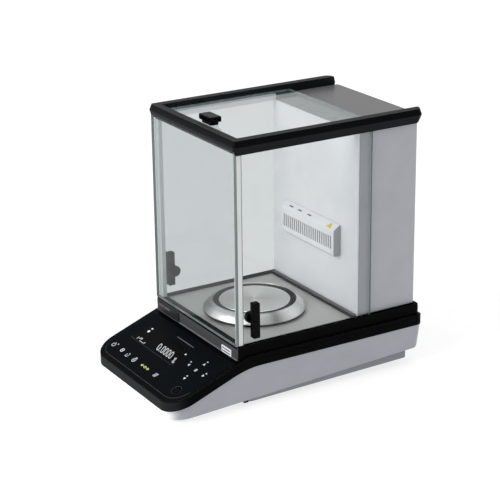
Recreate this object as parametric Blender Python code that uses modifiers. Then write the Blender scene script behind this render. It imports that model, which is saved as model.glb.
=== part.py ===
"""Analytical balance with a glass draught shield, a sloping touch console and a round pan.

Lengths are in metres, +Z is up, +X is the balance's right hand side and the console faces -Y.
Design positions are measured from the front glass: Y = 0 is its outer face, Z = 0 is the bench.
One empty carries every piece and moves the design to the part's own origin, which is the
centre of the footprint on the bench.
"""
import math

import bmesh
import bpy
from mathutils import Matrix, Vector

MM = 0.001

# ---- driving dimensions -------------------------------------------------------------------
BASE_WIDTH = 212 * MM            # over the black base cover
BODY_DEPTH = 275 * MM            # front glass to the rear of the base
CONSOLE_LENGTH = 92.5 * MM       # how far the console stands out in front of the glass
SEAM_HEIGHT = 56 * MM            # joint between the grey lower case and the black cover
SHIELD_HEIGHT = 256 * MM         # deck to the top of the black top frame
CHAMBER_DEPTH = 176.8 * MM       # front glass to the white back wall
PAN_DIAMETER = 91 * MM
PAN_Y = 87 * MM                  # pan centre behind the front glass
SLOPE = math.radians(20.6)       # console tilt

# ---- clearances ---------------------------------------------------------------------------
GAP = 0.3 * MM                   # between pieces that touch
SLIDE_GAP = 0.5 * MM             # beside a sliding glass
SCREW_CLEARANCE = 0.35 * MM      # round a levelling screw
OVERCUT = 20 * MM                # how far a cutter runs past what it cuts

# ---- base ---------------------------------------------------------------------------------
RIDGE_RISE = 14 * MM             # seam to the top of the ridge that runs round the cover
DECK_RISE = 14 * MM              # ridge to the deck that the doors run on
CONSOLE_RISE = 8.5 * MM          # seam to the console surface, at the plane of the front glass
CONSOLE_LIP = 13 * MM            # height of the console's black front edge
FRONT_RADIUS = 30 * MM           # console corners in plan
REAR_RADIUS = 10 * MM
BLOCK_INSET = 3.5 * MM           # chamber base set in from the ridge
BLOCK_FRONT_RADIUS = 3 * MM
BLOCK_REAR_RADIUS = 7 * MM
BLOCK_CHAMFER = 1.2 * MM
COVER_WALL = 3 * MM
DECK_THICKNESS = 7 * MM
SEAM_BEND_REAR = 32 * MM         # the seam is level behind this depth
SEAM_BEND_FRONT = -8 * MM        # and parallel to the console in front of this one
CASE_SIDE_STEP = 0.6 * MM        # lower case set in under the cover, at the sides
CASE_END_STEP = 0.4 * MM         # and at the ends
CASE_WALL = 3.5 * MM
CASE_TAPER = 0.16                # how fast the lower case draws in below the seam
CASE_FRONT_CLEARANCE = 4.1 * MM  # underside above the bench at the front
CASE_REAR_CLEARANCE = 23.2 * MM  # and at the rear
NOSE_RADIUS = 13 * MM            # lower case's front edge in side view
NOSE_SET = 8.5 * MM              # centre of that rounding behind the front
NOSE_LIFT = 3 * MM               # its upper end above the arc
TAIL_RADIUS = 11 * MM
TAIL_SET = 9 * MM
PLINTH_CLEARANCE = 10 * MM       # bottom plate above the bench
PLINTH_HEIGHT = 14 * MM
PLINTH_INSET = 14 * MM
PLINTH_FRONT = 16 * MM
PLINTH_REAR_INSET = 18 * MM
PLINTH_RADIUS = 6 * MM

# ---- console ------------------------------------------------------------------------------
PANEL_INSET = 7 * MM             # touch panel in from the console's edge
PANEL_THICKNESS = 0.9 * MM
PANEL_REAR = -4 * MM
PANEL_REAR_RADIUS = 4 * MM
WINDOW_LEFT = 26 * MM            # display window in from the left side
WINDOW_WIDTH = 109 * MM
WINDOW_FRONT = 43 * MM           # display window behind the console's front, in plan
WINDOW_LENGTH = 27.5 * MM
WINDOW_THICKNESS = 2 * MM
MODULE_MARGIN = 3 * MM           # display module beyond its window
MODULE_THICKNESS = 6 * MM
LEVEL_SIDE = 27 * MM             # bubble level in from the right side
LEVEL_FRONT = 21 * MM            # and behind the console's front
LEVEL_RADIUS = 6.5 * MM
VIAL_RADIUS = 5 * MM
VIAL_HEIGHT = 6 * MM
VIAL_DROP = 4.6 * MM             # vial below the low side of its hole
BAND_THICKNESS = 2.7 * MM        # dark band between the console and the front glass
BAND_LIFT = 1.4 * MM             # its foot above the console
LABEL_THICKNESS = 0.5 * MM
LABEL_INSET = 2.6 * MM           # dark label in from the band's left end
LABEL_WIDTH = 56 * MM
PLAQUE_INSET = 12.6 * MM         # white plaque in from the band's right end
PLAQUE_WIDTH = 22 * MM

# ---- draught shield -----------------------------------------------------------------------
GLASS = 3 * MM                   # doors and top
FRONT_GLASS = 4 * MM
DOOR_INSET = 5.4 * MM            # outer face of a side door in from the base cover's side
DOOR_FRONT = 10.4 * MM
DOOR_OVERLAP = 18.6 * MM         # doors and top run on past the back wall
TRACK_DEPTH = 4 * MM
CORNER_DEPTH = 6 * MM
CORNER_WIDTH = 10 * MM
FRAME_HEIGHT = 18 * MM           # top frame, underside to top
FRAME_CREASE = 7.5 * MM          # widest line of the frame below its top
FRAME_OVERHANG = 3.9 * MM        # widest line beyond the doors
FRAME_NOSE = 1.5 * MM            # frame in front of the front glass
FRAME_SLOT = 5 * MM              # how far the glass runs up into the frame
FRAME_RADIUS = 5 * MM
FRAME_END_INSET = 5 * MM         # rails end in front of the base's rear
RAIL_INSET = 9.1 * MM            # inner face of the frame's side rails in from the doors
FRONT_RAIL = 12 * MM
TOP_GLASS_DROP = 6.3 * MM        # top glass below the frame's top
TOP_OVERLAP = 21.7 * MM
RUNNER_WIDTH = 8 * MM
RUNNER_INSET = 1 * MM
GRIP_RISE = 5 * MM               # the top grip above the frame
GRIP_Y = 27.5 * MM
GRIP_SIZE = (28 * MM, 16 * MM, 7 * MM)
GRIP_FOOT_INSET = (3 * MM, 2.5 * MM)
HANDLE_Y = 24 * MM
HANDLE_RISE = 32 * MM            # door handle's middle above the deck
HANDLE_SIZE = (9 * MM, 9 * MM, 45 * MM)
BOSS_RADIUS = 7 * MM             # screw boss inside a door, behind the handle
BOSS_TIP_RADIUS = 5.5 * MM
BOSS_DEPTH = 7 * MM

# ---- rear housing -------------------------------------------------------------------------
WALL = 2.4 * MM                  # white back wall
HOUSING_INSET = 8.5 * MM         # housing in front of the base's rear
HOUSING_SKIN = 2 * MM
HOUSING_RADIUS = 5 * MM
TOP_COVER_HEIGHT = 7.2 * MM
TOP_COVER_INSET = 1 * MM
SEAL_DEPTH = 3.2 * MM
SEAL_HEIGHT = 3 * MM
HEAD_RADIUS = 3 * MM             # heads of the housing screws
HEAD_HEIGHT = 1.6 * MM
HEAD_INSET = 13 * MM

# ---- chamber ------------------------------------------------------------------------------
FLOOR_THICKNESS = 1.5 * MM
FLOOR_DROP = 2.2 * MM            # floor plate below the deck
FLOOR_SIDE = 2.2 * MM            # floor plate in from the doors
FLOOR_FRONT = 12.5 * MM
FLOOR_REAR_INSET = 4.8 * MM
STEM_HOLE = 9 * MM
RING_RISE = 14.4 * MM            # draught ring's rim above the floor plate
RING_HEIGHT = 10.9 * MM
RING_MARGIN = 7.3 * MM           # ring's mouth beyond the pan
RING_FLARE = 12.5 * MM           # ring's foot beyond its mouth
RING_WALL = 1.2 * MM
RING_LEG = 2.5 * MM              # radius of the ring's three legs
RING_LEG_INSET = 3 * MM
PAN_THICKNESS = 1.5 * MM
PAN_RIM = 3 * MM
PAN_CHAMFER = 1 * MM
HUB_RADIUS = 9 * MM
HUB_DEPTH = 9 * MM
SOCKET_DROP = 4 * MM             # top of the stem's socket below the pan's face
STEM_RADIUS = 5 * MM
COLLAR_RADIUS = 7.5 * MM
COLLAR_HEIGHT = 1.7 * MM
STEM_FOOT_RADIUS = 10 * MM
STEM_FOOT_HEIGHT = 3 * MM

# ---- ionizer ------------------------------------------------------------------------------
ION_HALF = 61 * MM
ION_DEPTH = 10.8 * MM
ION_RISE = 71.5 * MM             # underside above the deck
ION_FRONT_HEIGHT = 33.5 * MM
ION_SLOPE_HEIGHT = 5.5 * MM
ION_UNDERCUT = 2 * MM
ION_SHELL = 1.6 * MM
ION_SLOTS = 23
ION_SLOT_WIDTH = 2.6 * MM
ION_SLOT_HEIGHT = 17 * MM
ION_SLOT_LOW = 7 * MM
ION_SLOT_SPAN = 108 * MM
ELECTRODE_MARGIN = 2 * MM
ELECTRODE_LOW = 10 * MM
ELECTRODE_HEIGHT = 12 * MM

# ---- weigh cell and calibration weight ----------------------------------------------------
CELL_HALF = 34 * MM
CELL_LENGTH = 112 * MM
CELL_LEAD = 16 * MM              # front of the cell ahead of the pan's centre
CELL_CLEARANCE = 26 * MM         # cell above the bench
CELL_RISE = 8 * MM               # top of the cell above the seam
CELL_SLOT = 4 * MM
CELL_SLOT_INSET = 10 * MM        # slots in from the cell's top and bottom
CELL_SLOT_LENGTH = 62 * MM
CELL_SLOT_FRONT = 8 * MM
BRACKET_LENGTH = 22 * MM
BRACKET_INSET = 4 * MM
BRACKET_SEAT = 1 * MM            # bracket above the case's inner floor
WEIGHT_RADIUS = 14 * MM
WEIGHT_HALF = 15 * MM
WEIGHT_SET = 33 * MM             # weight behind the pan's centre
WEIGHT_RISE = 18 * MM            # weight above the cell's underside
JOURNAL_RADIUS = 5 * MM
JOURNAL_LENGTH = 5 * MM
FORK_HALF_DEPTH = 9 * MM
FORK_WALL = 3.9 * MM
FORK_FLOOR = 3 * MM
FORK_SIDE_GAP = 0.6 * MM
MOTOR_RADIUS = 9 * MM
MOTOR_LENGTH = 26 * MM
MOTOR_SET = 24 * MM
MOTOR_DROP = 6 * MM

# ---- electronics and rear sockets ---------------------------------------------------------
BOARD_SIZE = (144 * MM, 1.6 * MM, 125 * MM)
BOARD_STANDOFF = 18.4 * MM       # board in front of the housing's rear skin
BOARD_RISE = 21 * MM             # board above the deck
BRACKET_BORDER = 8 * MM
BRACKET_MARGIN = 6 * MM          # bracket in from the board's edges
SUPPLY_SIZE = (90 * MM, 23 * MM, 40 * MM)
SUPPLY_RISE = 76 * MM
PORT_DROP = 15 * MM              # middle of the sockets below the seam
PORT_DEPTH = 13.6 * MM
PORT_RECESS = 0.6 * MM           # socket faces behind the case's rear
PORT_SHELL = 1 * MM
PORT_ROOM = 6 * MM               # how deep a plug goes in
PORT_PLATE_HALF = (48 * MM, 10 * MM)
PORT_PLATE_THICKNESS = 1.7 * MM
SERIAL_AT = -26 * MM
SERIAL_HALF = (16 * MM, 5.5 * MM)
USB_AT = 8 * MM
USB_HALF = (6.5 * MM, 5.5 * MM)
INLET_AT = 34 * MM
INLET_RADIUS = 6 * MM
INLET_ROOM_RADIUS = 3.6 * MM
INLET_ROOM = 9 * MM

# ---- feet ---------------------------------------------------------------------------------
FOOT_RADIUS = 12 * MM
FOOT_CHAMFER = 1 * MM
PAD_HEIGHT = 3 * MM
PAD_EDGE = 1.2 * MM
PAD_TOP_RADIUS = 7 * MM
WHEEL_RADIUS = 13 * MM           # knurled wheel of a levelling foot
WHEEL_GAP = 1.5 * MM             # wheel below the bottom plate
SCREW_RADIUS = 4 * MM
SCREW_HEIGHT = 38 * MM
INSERT_RADIUS = 8 * MM
INSERT_HEIGHT = 29.7 * MM
REAR_FOOT_INSET = (54 * MM, 37 * MM)
FRONT_FOOT_INSET = (44 * MM, 44.5 * MM)

# ---- derived ------------------------------------------------------------------------------
HALF = BASE_WIDTH / 2
FRONT = -CONSOLE_LENGTH
ORIGIN_Y = (BODY_DEPTH + FRONT) / 2
CONSOLE_TOP = SEAM_HEIGHT + CONSOLE_RISE
RIDGE_HEIGHT = SEAM_HEIGHT + RIDGE_RISE
DECK_HEIGHT = RIDGE_HEIGHT + DECK_RISE
FRAME_TOP = DECK_HEIGHT + SHIELD_HEIGHT
FRAME_BOTTOM = FRAME_TOP - FRAME_HEIGHT
FRAME_END = BODY_DEPTH - FRAME_END_INSET
DOOR_OUTER = HALF - DOOR_INSET
DOOR_INNER = DOOR_OUTER - GLASS
DOOR_LENGTH = CHAMBER_DEPTH + DOOR_OVERLAP - DOOR_FRONT
RAIL_INNER = DOOR_OUTER - RAIL_INSET
HOUSING_HALF = DOOR_INNER - SLIDE_GAP
HOUSING_REAR = BODY_DEPTH - HOUSING_INSET
HOUSING_FRONT = CHAMBER_DEPTH + WALL + GAP
BLOCK_HALF = HALF - BLOCK_INSET
BLOCK_REAR = BODY_DEPTH - BLOCK_INSET
BLOCK_FRONT = BAND_THICKNESS + GAP
FRAME_HALF = DOOR_OUTER + FRAME_OVERHANG
TOP_GLASS_TOP = FRAME_TOP - TOP_GLASS_DROP
TOP_GLASS_BOTTOM = TOP_GLASS_TOP - GLASS
FLOOR_TOP = DECK_HEIGHT - FLOOR_DROP
FLOOR_HALF = DOOR_INNER - FLOOR_SIDE
FLOOR_REAR = CHAMBER_DEPTH - FLOOR_REAR_INSET
PAN_RADIUS = PAN_DIAMETER / 2
RING_MOUTH = PAN_RADIUS + RING_MARGIN
RING_FOOT = RING_MOUTH + RING_FLARE
RIM_Z = FLOOR_TOP + RING_RISE
PAN_TOP = RIM_Z - GAP


def console_z(y):
    """Height of the console surface at depth y."""
    return CONSOLE_TOP + y * math.tan(SLOPE)


def case_floor_z(y):
    """Height of the lower case's underside at depth y, rising in one line to the rear."""
    rise = (CASE_REAR_CLEARANCE - CASE_FRONT_CLEARANCE) / (BODY_DEPTH + CONSOLE_LENGTH)
    return CASE_FRONT_CLEARANCE + (y - FRONT) * rise


# ---- scene helpers ------------------------------------------------------------------------
for old in list(bpy.data.objects):
    bpy.data.objects.remove(old, do_unlink=True)

parts = bpy.data.collections.new("analytical_balance")
cutters = bpy.data.collections.new("cutters")
bpy.context.scene.collection.children.link(parts)
bpy.context.scene.collection.children.link(cutters)

root = bpy.data.objects.new("balance_origin", None)
root.location = (0, -ORIGIN_Y, 0)
parts.objects.link(root)


def material(name, colour, roughness=0.5, metallic=0.0, alpha=1.0):
    """A Principled BSDF material."""
    mat = bpy.data.materials.new(name)
    mat.use_nodes = True
    shader = mat.node_tree.nodes["Principled BSDF"]
    shader.inputs["Base Color"].default_value = (*colour, 1)
    shader.inputs["Roughness"].default_value = roughness
    shader.inputs["Metallic"].default_value = metallic
    shader.inputs["Alpha"].default_value = alpha
    return mat


BLACK = material("black_plastic", (0.012, 0.012, 0.014), 0.35)
TOUCH_FILM = material("touch_film", (0.015, 0.015, 0.018), 0.2)
GREY_CASE = material("grey_paint", (0.42, 0.43, 0.46), 0.45)
DARK_GREY = material("dark_grey_plastic", (0.12, 0.12, 0.13), 0.5)
SILVER = material("silver_paint", (0.40, 0.41, 0.44), 0.4)
WHITE = material("white_plastic", (0.78, 0.79, 0.82), 0.5)
STEEL = material("brushed_steel", (0.55, 0.55, 0.54), 0.3, 1.0)
CLEAR = material("clear_glass", (0.85, 0.92, 0.90), 0.03, 0.0, 0.25)
SCREEN = material("display_glass", (0.01, 0.01, 0.012), 0.1)
ALUMINIUM = material("aluminium", (0.6, 0.6, 0.6), 0.4, 1.0)
BRASS = material("brass", (0.6, 0.45, 0.2), 0.35, 1.0)
BOARD = material("circuit_board", (0.02, 0.16, 0.06), 0.6)
RUBBER = material("rubber", (0.02, 0.02, 0.02), 0.8)


def add(name, mesh, mat=None, origin=(0, 0, 0)):
    """A piece made from a mesh in design coordinates, with its own origin."""
    mesh.name = name
    obj = bpy.data.objects.new(name, mesh)
    mesh.transform(Matrix.Translation(-Vector(origin)))
    obj.location = origin
    obj.parent = root
    if mat is None:
        cutters.objects.link(obj)
        obj.hide_render = True
        obj.display_type = "WIRE"
    else:
        mesh.materials.append(mat)
        parts.objects.link(obj)
        mesh.shade_smooth()
        mesh.set_sharp_from_angle(angle=math.radians(30))
    return obj


def boolean(target, tool, operation="DIFFERENCE"):
    """Cut, join or intersect with an exact Boolean."""
    mod = target.modifiers.new(operation.lower(), "BOOLEAN")
    mod.operation = operation
    mod.solver = "EXACT"
    mod.object = tool
    return target


def bevel(obj, width, segments=2, angle=40):
    """Round an object's edges."""
    mod = obj.modifiers.new("rounded_edges", "BEVEL")
    mod.width = width
    mod.segments = segments
    mod.limit_method = "ANGLE"
    mod.angle_limit = math.radians(angle)
    return obj


def box_mesh(low, high):
    """A box between two corners."""
    low = Vector(low)
    high = Vector(high)
    bm = bmesh.new()
    bmesh.ops.create_cube(bm, size=1)
    size = high - low
    bmesh.ops.scale(bm, vec=size, verts=bm.verts)
    bmesh.ops.translate(bm, vec=(low + high) / 2, verts=bm.verts)
    mesh = bpy.data.meshes.new("box")
    bm.to_mesh(mesh)
    bm.free()
    return mesh


def box(name, low, high, mat=None, origin=(0, 0, 0)):
    return add(name, box_mesh(low, high), mat, origin)


AXIS_TURN = {
    "Z": Matrix.Identity(4),
    "X": Matrix.Rotation(math.radians(90), 4, "Y"),
    "Y": Matrix.Rotation(math.radians(-90), 4, "X"),
}


def rod_mesh(radius, start, length, axis="Z", segments=24, end_radius=None):
    """A cylinder or cone from its start point along an axis."""
    bm = bmesh.new()
    tip = radius if end_radius is None else end_radius
    bmesh.ops.create_cone(bm, cap_ends=True, segments=segments, radius1=radius, radius2=tip, depth=length)
    bmesh.ops.translate(bm, vec=(0, 0, length / 2), verts=bm.verts)
    mesh = bpy.data.meshes.new("rod")
    bm.to_mesh(mesh)
    bm.free()
    mesh.transform(Matrix.Translation(start) @ AXIS_TURN[axis])
    return mesh


def rod(name, radius, start, length, axis="Z", mat=None, origin=(0, 0, 0), segments=24, end_radius=None):
    return add(name, rod_mesh(radius, start, length, axis, segments, end_radius), mat, origin)


def turned(name, profile, centre, mat=None, steps=40, origin=(0, 0, 0)):
    """A profile of (radius, height) points, outer side running down, screwed about a vertical axis."""
    bm = bmesh.new()
    verts = [bm.verts.new((r, 0, z)) for r, z in profile]
    for a, b in zip(verts, verts[1:]):
        bm.edges.new((a, b))
    if profile[0][0] > 0:
        bm.edges.new((verts[-1], verts[0]))
    mesh = bpy.data.meshes.new(name)
    bm.to_mesh(mesh)
    bm.free()
    mesh.transform(Matrix.Translation(Vector(centre) - Vector(origin)))
    obj = bpy.data.objects.new(name, mesh)
    obj.location = origin
    obj.parent = root
    (cutters if mat is None else parts).objects.link(obj)
    if mat is None:
        obj.hide_render = True
        obj.display_type = "WIRE"
    else:
        mesh.materials.append(mat)
    axis = bpy.data.objects.new(name + "_axis", None)
    axis.location = centre
    axis.parent = root
    cutters.objects.link(axis)
    mod = obj.modifiers.new("turned", "SCREW")
    mod.object = axis
    mod.steps = steps
    mod.render_steps = steps
    mod.use_merge_vertices = True
    mod.merge_threshold = 0.00001
    mod.use_smooth_shade = True
    return obj


def rounded_outline(half, front, rear, front_radius, rear_radius, inset=0.0, steps=6):
    """Plan outline, anticlockwise from the right front corner, as (x, y) points."""
    half -= inset
    front += inset
    rear -= inset
    corners = [(half, front, front_radius - inset, -90), (half, rear, rear_radius - inset, 0),
               (-half, rear, rear_radius - inset, 90), (-half, front, front_radius - inset, 180)]
    points = []
    for x, y, radius, start in corners:
        radius = max(radius, 0.5 * MM)
        cx = x - math.copysign(radius, x)
        cy = y + radius if y == front else y - radius
        for k in range(steps + 1):
            angle = math.radians(start + 90 * k / steps)
            points.append((cx + radius * math.cos(angle), cy + radius * math.sin(angle)))
    return points


def loft(name, sections, mat=None, origin=(0, 0, 0)):
    """A solid through level sections, each (height, outline) with the same number of points."""
    bm = bmesh.new()
    rings = [[bm.verts.new((x, y, z)) for x, y in outline] for z, outline in sections]
    count = len(rings[0])
    for low, high in zip(rings, rings[1:]):
        for k in range(count):
            n = (k + 1) % count
            bm.faces.new((low[k], low[n], high[n], high[k]))
    bm.faces.new(list(reversed(rings[0])))
    bm.faces.new(rings[-1])
    mesh = bpy.data.meshes.new(name)
    bm.to_mesh(mesh)
    bm.free()
    return add(name, mesh, mat, origin)


def plate_mesh(outline, thickness, matrix):
    """A flat outline, as a filled curve extruded to both sides, made a mesh and placed."""
    curve = bpy.data.curves.new("outline", "CURVE")
    curve.dimensions = "2D"
    curve.fill_mode = "BOTH"
    curve.extrude = thickness / 2
    spline = curve.splines.new("POLY")
    spline.points.add(len(outline) - 1)
    for point, (a, b) in zip(spline.points, outline):
        point.co = (a, b, 0, 1)
    spline.use_cyclic_u = True
    holder = bpy.data.objects.new("outline", curve)
    cutters.objects.link(holder)
    depsgraph = bpy.context.evaluated_depsgraph_get()
    mesh = bpy.data.meshes.new_from_object(holder.evaluated_get(depsgraph))
    bpy.data.objects.remove(holder)
    bm = bmesh.new()
    bm.from_mesh(mesh)
    bmesh.ops.remove_doubles(bm, verts=bm.verts, dist=0.00001)
    bmesh.ops.recalc_face_normals(bm, faces=bm.faces)
    bm.to_mesh(mesh)
    bm.free()
    mesh.transform(matrix)
    return mesh


# A side profile is drawn as (y, z) and runs along X.
SIDE_VIEW = Matrix(((0, 0, 1, 0), (1, 0, 0, 0), (0, 1, 0, 0), (0, 0, 0, 1)))


def side_profile(name, outline, width=2 * BASE_WIDTH, mat=None, x=0.0):
    return add(name, plate_mesh(outline, width, Matrix.Translation((x, 0, 0)) @ SIDE_VIEW), mat)


def on_console(x, y, depth=0.0):
    """Placement on the console surface at (x, y), sunk by depth along its normal."""
    place = Matrix.Translation((x, y, console_z(y))) @ Matrix.Rotation(SLOPE, 4, "X")
    return place @ Matrix.Translation((0, 0, -depth))


def console_box(name, x_range, y_range, top, bottom, mat=None):
    """A box lying along the console between two plan depths, by heights above its surface."""
    mid = (y_range[0] + y_range[1]) / 2
    reach = (y_range[1] - y_range[0]) / 2 / math.cos(SLOPE)
    mesh = box_mesh((x_range[0], -reach, bottom), (x_range[1], reach, top))
    mesh.transform(on_console(0, mid))
    return add(name, mesh, mat)


def arc(cy, cz, radius, start, end, steps=5):
    """Points of an arc in a side profile, by angles in degrees."""
    points = []
    for k in range(steps + 1):
        angle = math.radians(start + (end - start) * k / steps)
        points.append((cy + radius * math.cos(angle), cz + radius * math.sin(angle)))
    return points


# ---- lower case ---------------------------------------------------------------------------
def seam_line(offset=0.0):
    """The seam in side view, from the rear to the front: level, a bend, then the console's slope."""
    front_z = console_z(FRONT) - CONSOLE_LIP
    fall = math.tan(SLOPE)
    bend_z = front_z + (SEAM_BEND_FRONT - FRONT) * fall
    span = SEAM_BEND_REAR - SEAM_BEND_FRONT
    rise = SEAM_HEIGHT - bend_z
    points = [(BODY_DEPTH + OVERCUT, SEAM_HEIGHT)]
    steps = 6
    for k in range(steps + 1):
        t = 1 - k / steps
        z = bend_z + fall * span * (t - 2 * t * t + t ** 3) + rise * (3 * t * t - 2 * t ** 3)
        points.append((SEAM_BEND_FRONT + span * t, z))
    points.append((FRONT - OVERCUT, front_z - OVERCUT * fall))
    return [(y, z + offset) for y, z in points]


def seam_z(y):
    """Height of the seam at depth y, read between the points of its line."""
    line = seam_line()
    for (y1, z1), (y0, z0) in zip(line, line[1:]):
        if y >= y0:
            return z0 + (z1 - z0) * (y - y0) / (y1 - y0)
    return line[-1][1]


def case_section(inset):
    """The case's plan outline, from bench level to the ridge."""
    outline = rounded_outline(HALF - CASE_SIDE_STEP, FRONT + CASE_END_STEP, BODY_DEPTH - CASE_END_STEP,
                              FRONT_RADIUS, REAR_RADIUS, inset)
    return [(0.0, outline), (RIDGE_HEIGHT, outline)]


def nose_share():
    """How much of the nose's full rounding the case's height at the front has room for."""
    room = seam_z(FRONT) - case_floor_z(FRONT) - 2 * GAP
    return min(1.0, 1.09 * room / NOSE_RADIUS)


def case_profile(wall, seam_offset):
    """Side view of the lower case: seam on top, a rounded nose and the rising underside."""
    past = 1 * MM - wall
    share = nose_share()
    radius = max(NOSE_RADIUS * share - wall, GAP)
    nose_y = FRONT + NOSE_SET * share
    nose = arc(nose_y, case_floor_z(nose_y) + 1.5 * wall + radius, radius, 200, 265, 5)
    nose[0] = (FRONT - past, nose[0][1] + NOSE_LIFT * share)
    tail_y = BODY_DEPTH - TAIL_SET
    tail = arc(tail_y, case_floor_z(tail_y) + TAIL_RADIUS, TAIL_RADIUS - wall, 272, 350, 4)
    tail[-1] = (BODY_DEPTH + past, tail[-1][1])
    top = seam_line(seam_offset)
    front_edge = (FRONT - past, seam_z(FRONT - past) + seam_offset)
    rear_edge = (BODY_DEPTH + past, top[0][1])
    return [rear_edge] + top[1:-1] + [front_edge] + nose + tail


def case_solid(name, wall, seam_offset, mat=None):
    """The case's outside or inside: its plan cut to the side view, its sides drawn in downwards."""
    upright = loft(name + "_plan", case_section(wall))
    boolean(upright, side_profile(name + "_profile", case_profile(wall, seam_offset)), "INTERSECT")
    depsgraph = bpy.context.evaluated_depsgraph_get()
    mesh = bpy.data.meshes.new_from_object(upright.evaluated_get(depsgraph))
    bm = bmesh.new()
    bm.from_mesh(mesh)
    bmesh.ops.triangulate(bm, faces=bm.faces)
    for vert in bm.verts:
        below = max(0.0, seam_z(vert.co.y) - vert.co.z)
        vert.co.x *= 1 - CASE_TAPER * below / HALF
    bm.to_mesh(mesh)
    bm.free()
    mesh.materials.clear()
    return add(name, mesh, mat)


lower_case = case_solid("lower_case", 0.0, -GAP, GREY_CASE)
boolean(lower_case, case_solid("case_hollow", CASE_WALL, OVERCUT))

# ---- bottom plate, under the lower case -------------------------------------------------------
plinth_outline = rounded_outline(HALF - PLINTH_INSET, PLINTH_FRONT, BODY_DEPTH - PLINTH_REAR_INSET,
                                 PLINTH_RADIUS, PLINTH_RADIUS)
bottom_plate = loft("bottom_plate", [(PLINTH_CLEARANCE, plinth_outline),
                                     (PLINTH_CLEARANCE + PLINTH_HEIGHT, plinth_outline)], DARK_GREY)
under_case = [(y, case_floor_z(y) - GAP) for y in (FRONT, BODY_DEPTH)]
under_case += [(BODY_DEPTH, -OVERCUT), (FRONT, -OVERCUT)]
boolean(bottom_plate, side_profile("under_case", under_case), "INTERSECT")


# ---- base cover ---------------------------------------------------------------------------
def cover_profile(drop, seam_offset):
    """Side view of the cover's lower part, from the seam up to the console and the ridge."""
    ridge_start = (RIDGE_HEIGHT - CONSOLE_TOP) / math.tan(SLOPE)
    beyond = FRONT - OVERCUT
    top = [(beyond, console_z(beyond) - drop / math.cos(SLOPE)),
           (ridge_start, RIDGE_HEIGHT - drop),
           (BODY_DEPTH + OVERCUT, RIDGE_HEIGHT - drop)]
    return top + seam_line(seam_offset)


def cover_plan(inset):
    """The cover's plan outline, from below the seam to the deck."""
    outline = rounded_outline(HALF, FRONT, BODY_DEPTH, FRONT_RADIUS, REAR_RADIUS, inset)
    return [(-OVERCUT, outline), (DECK_HEIGHT, outline)]


def block_outline(inset=0.0):
    """Plan outline of the raised chamber base."""
    return rounded_outline(BLOCK_HALF, BLOCK_FRONT, BLOCK_REAR, BLOCK_FRONT_RADIUS, BLOCK_REAR_RADIUS, inset)


base_cover = loft("base_cover", cover_plan(0.0), BLACK)
boolean(base_cover, side_profile("cover_outside", cover_profile(0.0, 0.0)), "INTERSECT")
block = loft("chamber_block", [(SEAM_HEIGHT + COVER_WALL / 3, block_outline()),
                               (DECK_HEIGHT - BLOCK_CHAMFER, block_outline()),
                               (DECK_HEIGHT, block_outline(BLOCK_CHAMFER))])
boolean(base_cover, block, "UNION")
cover_hollow = loft("cover_hollow", cover_plan(COVER_WALL))
boolean(cover_hollow, side_profile("cover_inside", cover_profile(COVER_WALL, -1.5 * OVERCUT)), "INTERSECT")
boolean(base_cover, cover_hollow)
block_hollow = box("block_hollow",
                   (-BLOCK_HALF + COVER_WALL, BLOCK_FRONT + COVER_WALL, SEAM_HEIGHT - OVERCUT),
                   (BLOCK_HALF - COVER_WALL, BLOCK_REAR - COVER_WALL, DECK_HEIGHT - DECK_THICKNESS))
boolean(base_cover, block_hollow)


def mirrored(side, near, far):
    """The two x values of a feature on one side of the centre plane, lowest first."""
    return sorted((side * near, side * far))


# Recess for the floor plate, the doors' tracks and the hole for the pan stem.
well = box("floor_well", (-FLOOR_HALF - GAP, FLOOR_FRONT - GAP, FLOOR_TOP - FLOOR_THICKNESS - GAP),
           (FLOOR_HALF + GAP, FLOOR_REAR + GAP, DECK_HEIGHT + OVERCUT))
boolean(base_cover, well)
TRACK_INNER = DOOR_INNER - SLIDE_GAP / 2
TRACK_OUTER = DOOR_OUTER + SLIDE_GAP / 2
SIDES = ((-1, "left"), (1, "right"))
for side, word in SIDES:
    low_x, high_x = mirrored(side, TRACK_INNER, TRACK_OUTER)
    track = box("lower_track_" + word, (low_x, DOOR_FRONT - SLIDE_GAP, DECK_HEIGHT - TRACK_DEPTH),
                (high_x, BODY_DEPTH + OVERCUT, DECK_HEIGHT + OVERCUT))
    boolean(base_cover, track)
stem_hole_low = DECK_HEIGHT - OVERCUT
boolean(base_cover, rod("deck_hole", STEM_HOLE, (0, PAN_Y, stem_hole_low), 2 * OVERCUT))

# ---- console: touch panel, display and bubble level ------------------------------------------
window_x = (-HALF + WINDOW_LEFT, -HALF + WINDOW_LEFT + WINDOW_WIDTH)
window_y = (FRONT + WINDOW_FRONT, FRONT + WINDOW_FRONT + WINDOW_LENGTH)
level_at = (HALF - LEVEL_SIDE, FRONT + LEVEL_FRONT)


def grown(span, margin):
    """A range widened by a margin at both ends."""
    return (span[0] - margin, span[1] + margin)


def panel_mesh(margin, thickness, sink):
    """The touch panel's rounded outline on the console, grown by margin."""
    reach = (PANEL_REAR - FRONT - PANEL_INSET) / 2 / math.cos(SLOPE)
    middle = (PANEL_REAR + FRONT + PANEL_INSET) / 2
    outline = rounded_outline(HALF - PANEL_INSET, -reach, reach, FRONT_RADIUS - PANEL_INSET,
                              PANEL_REAR_RADIUS, -margin)
    return plate_mesh(outline, thickness, on_console(0, middle, sink))


def console_rod(radius, bottom, top):
    """A round piece square to the console at the bubble level, by heights above its surface."""
    mesh = rod_mesh(radius, (0, 0, bottom), top - bottom)
    mesh.transform(on_console(*level_at))
    return mesh


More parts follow.
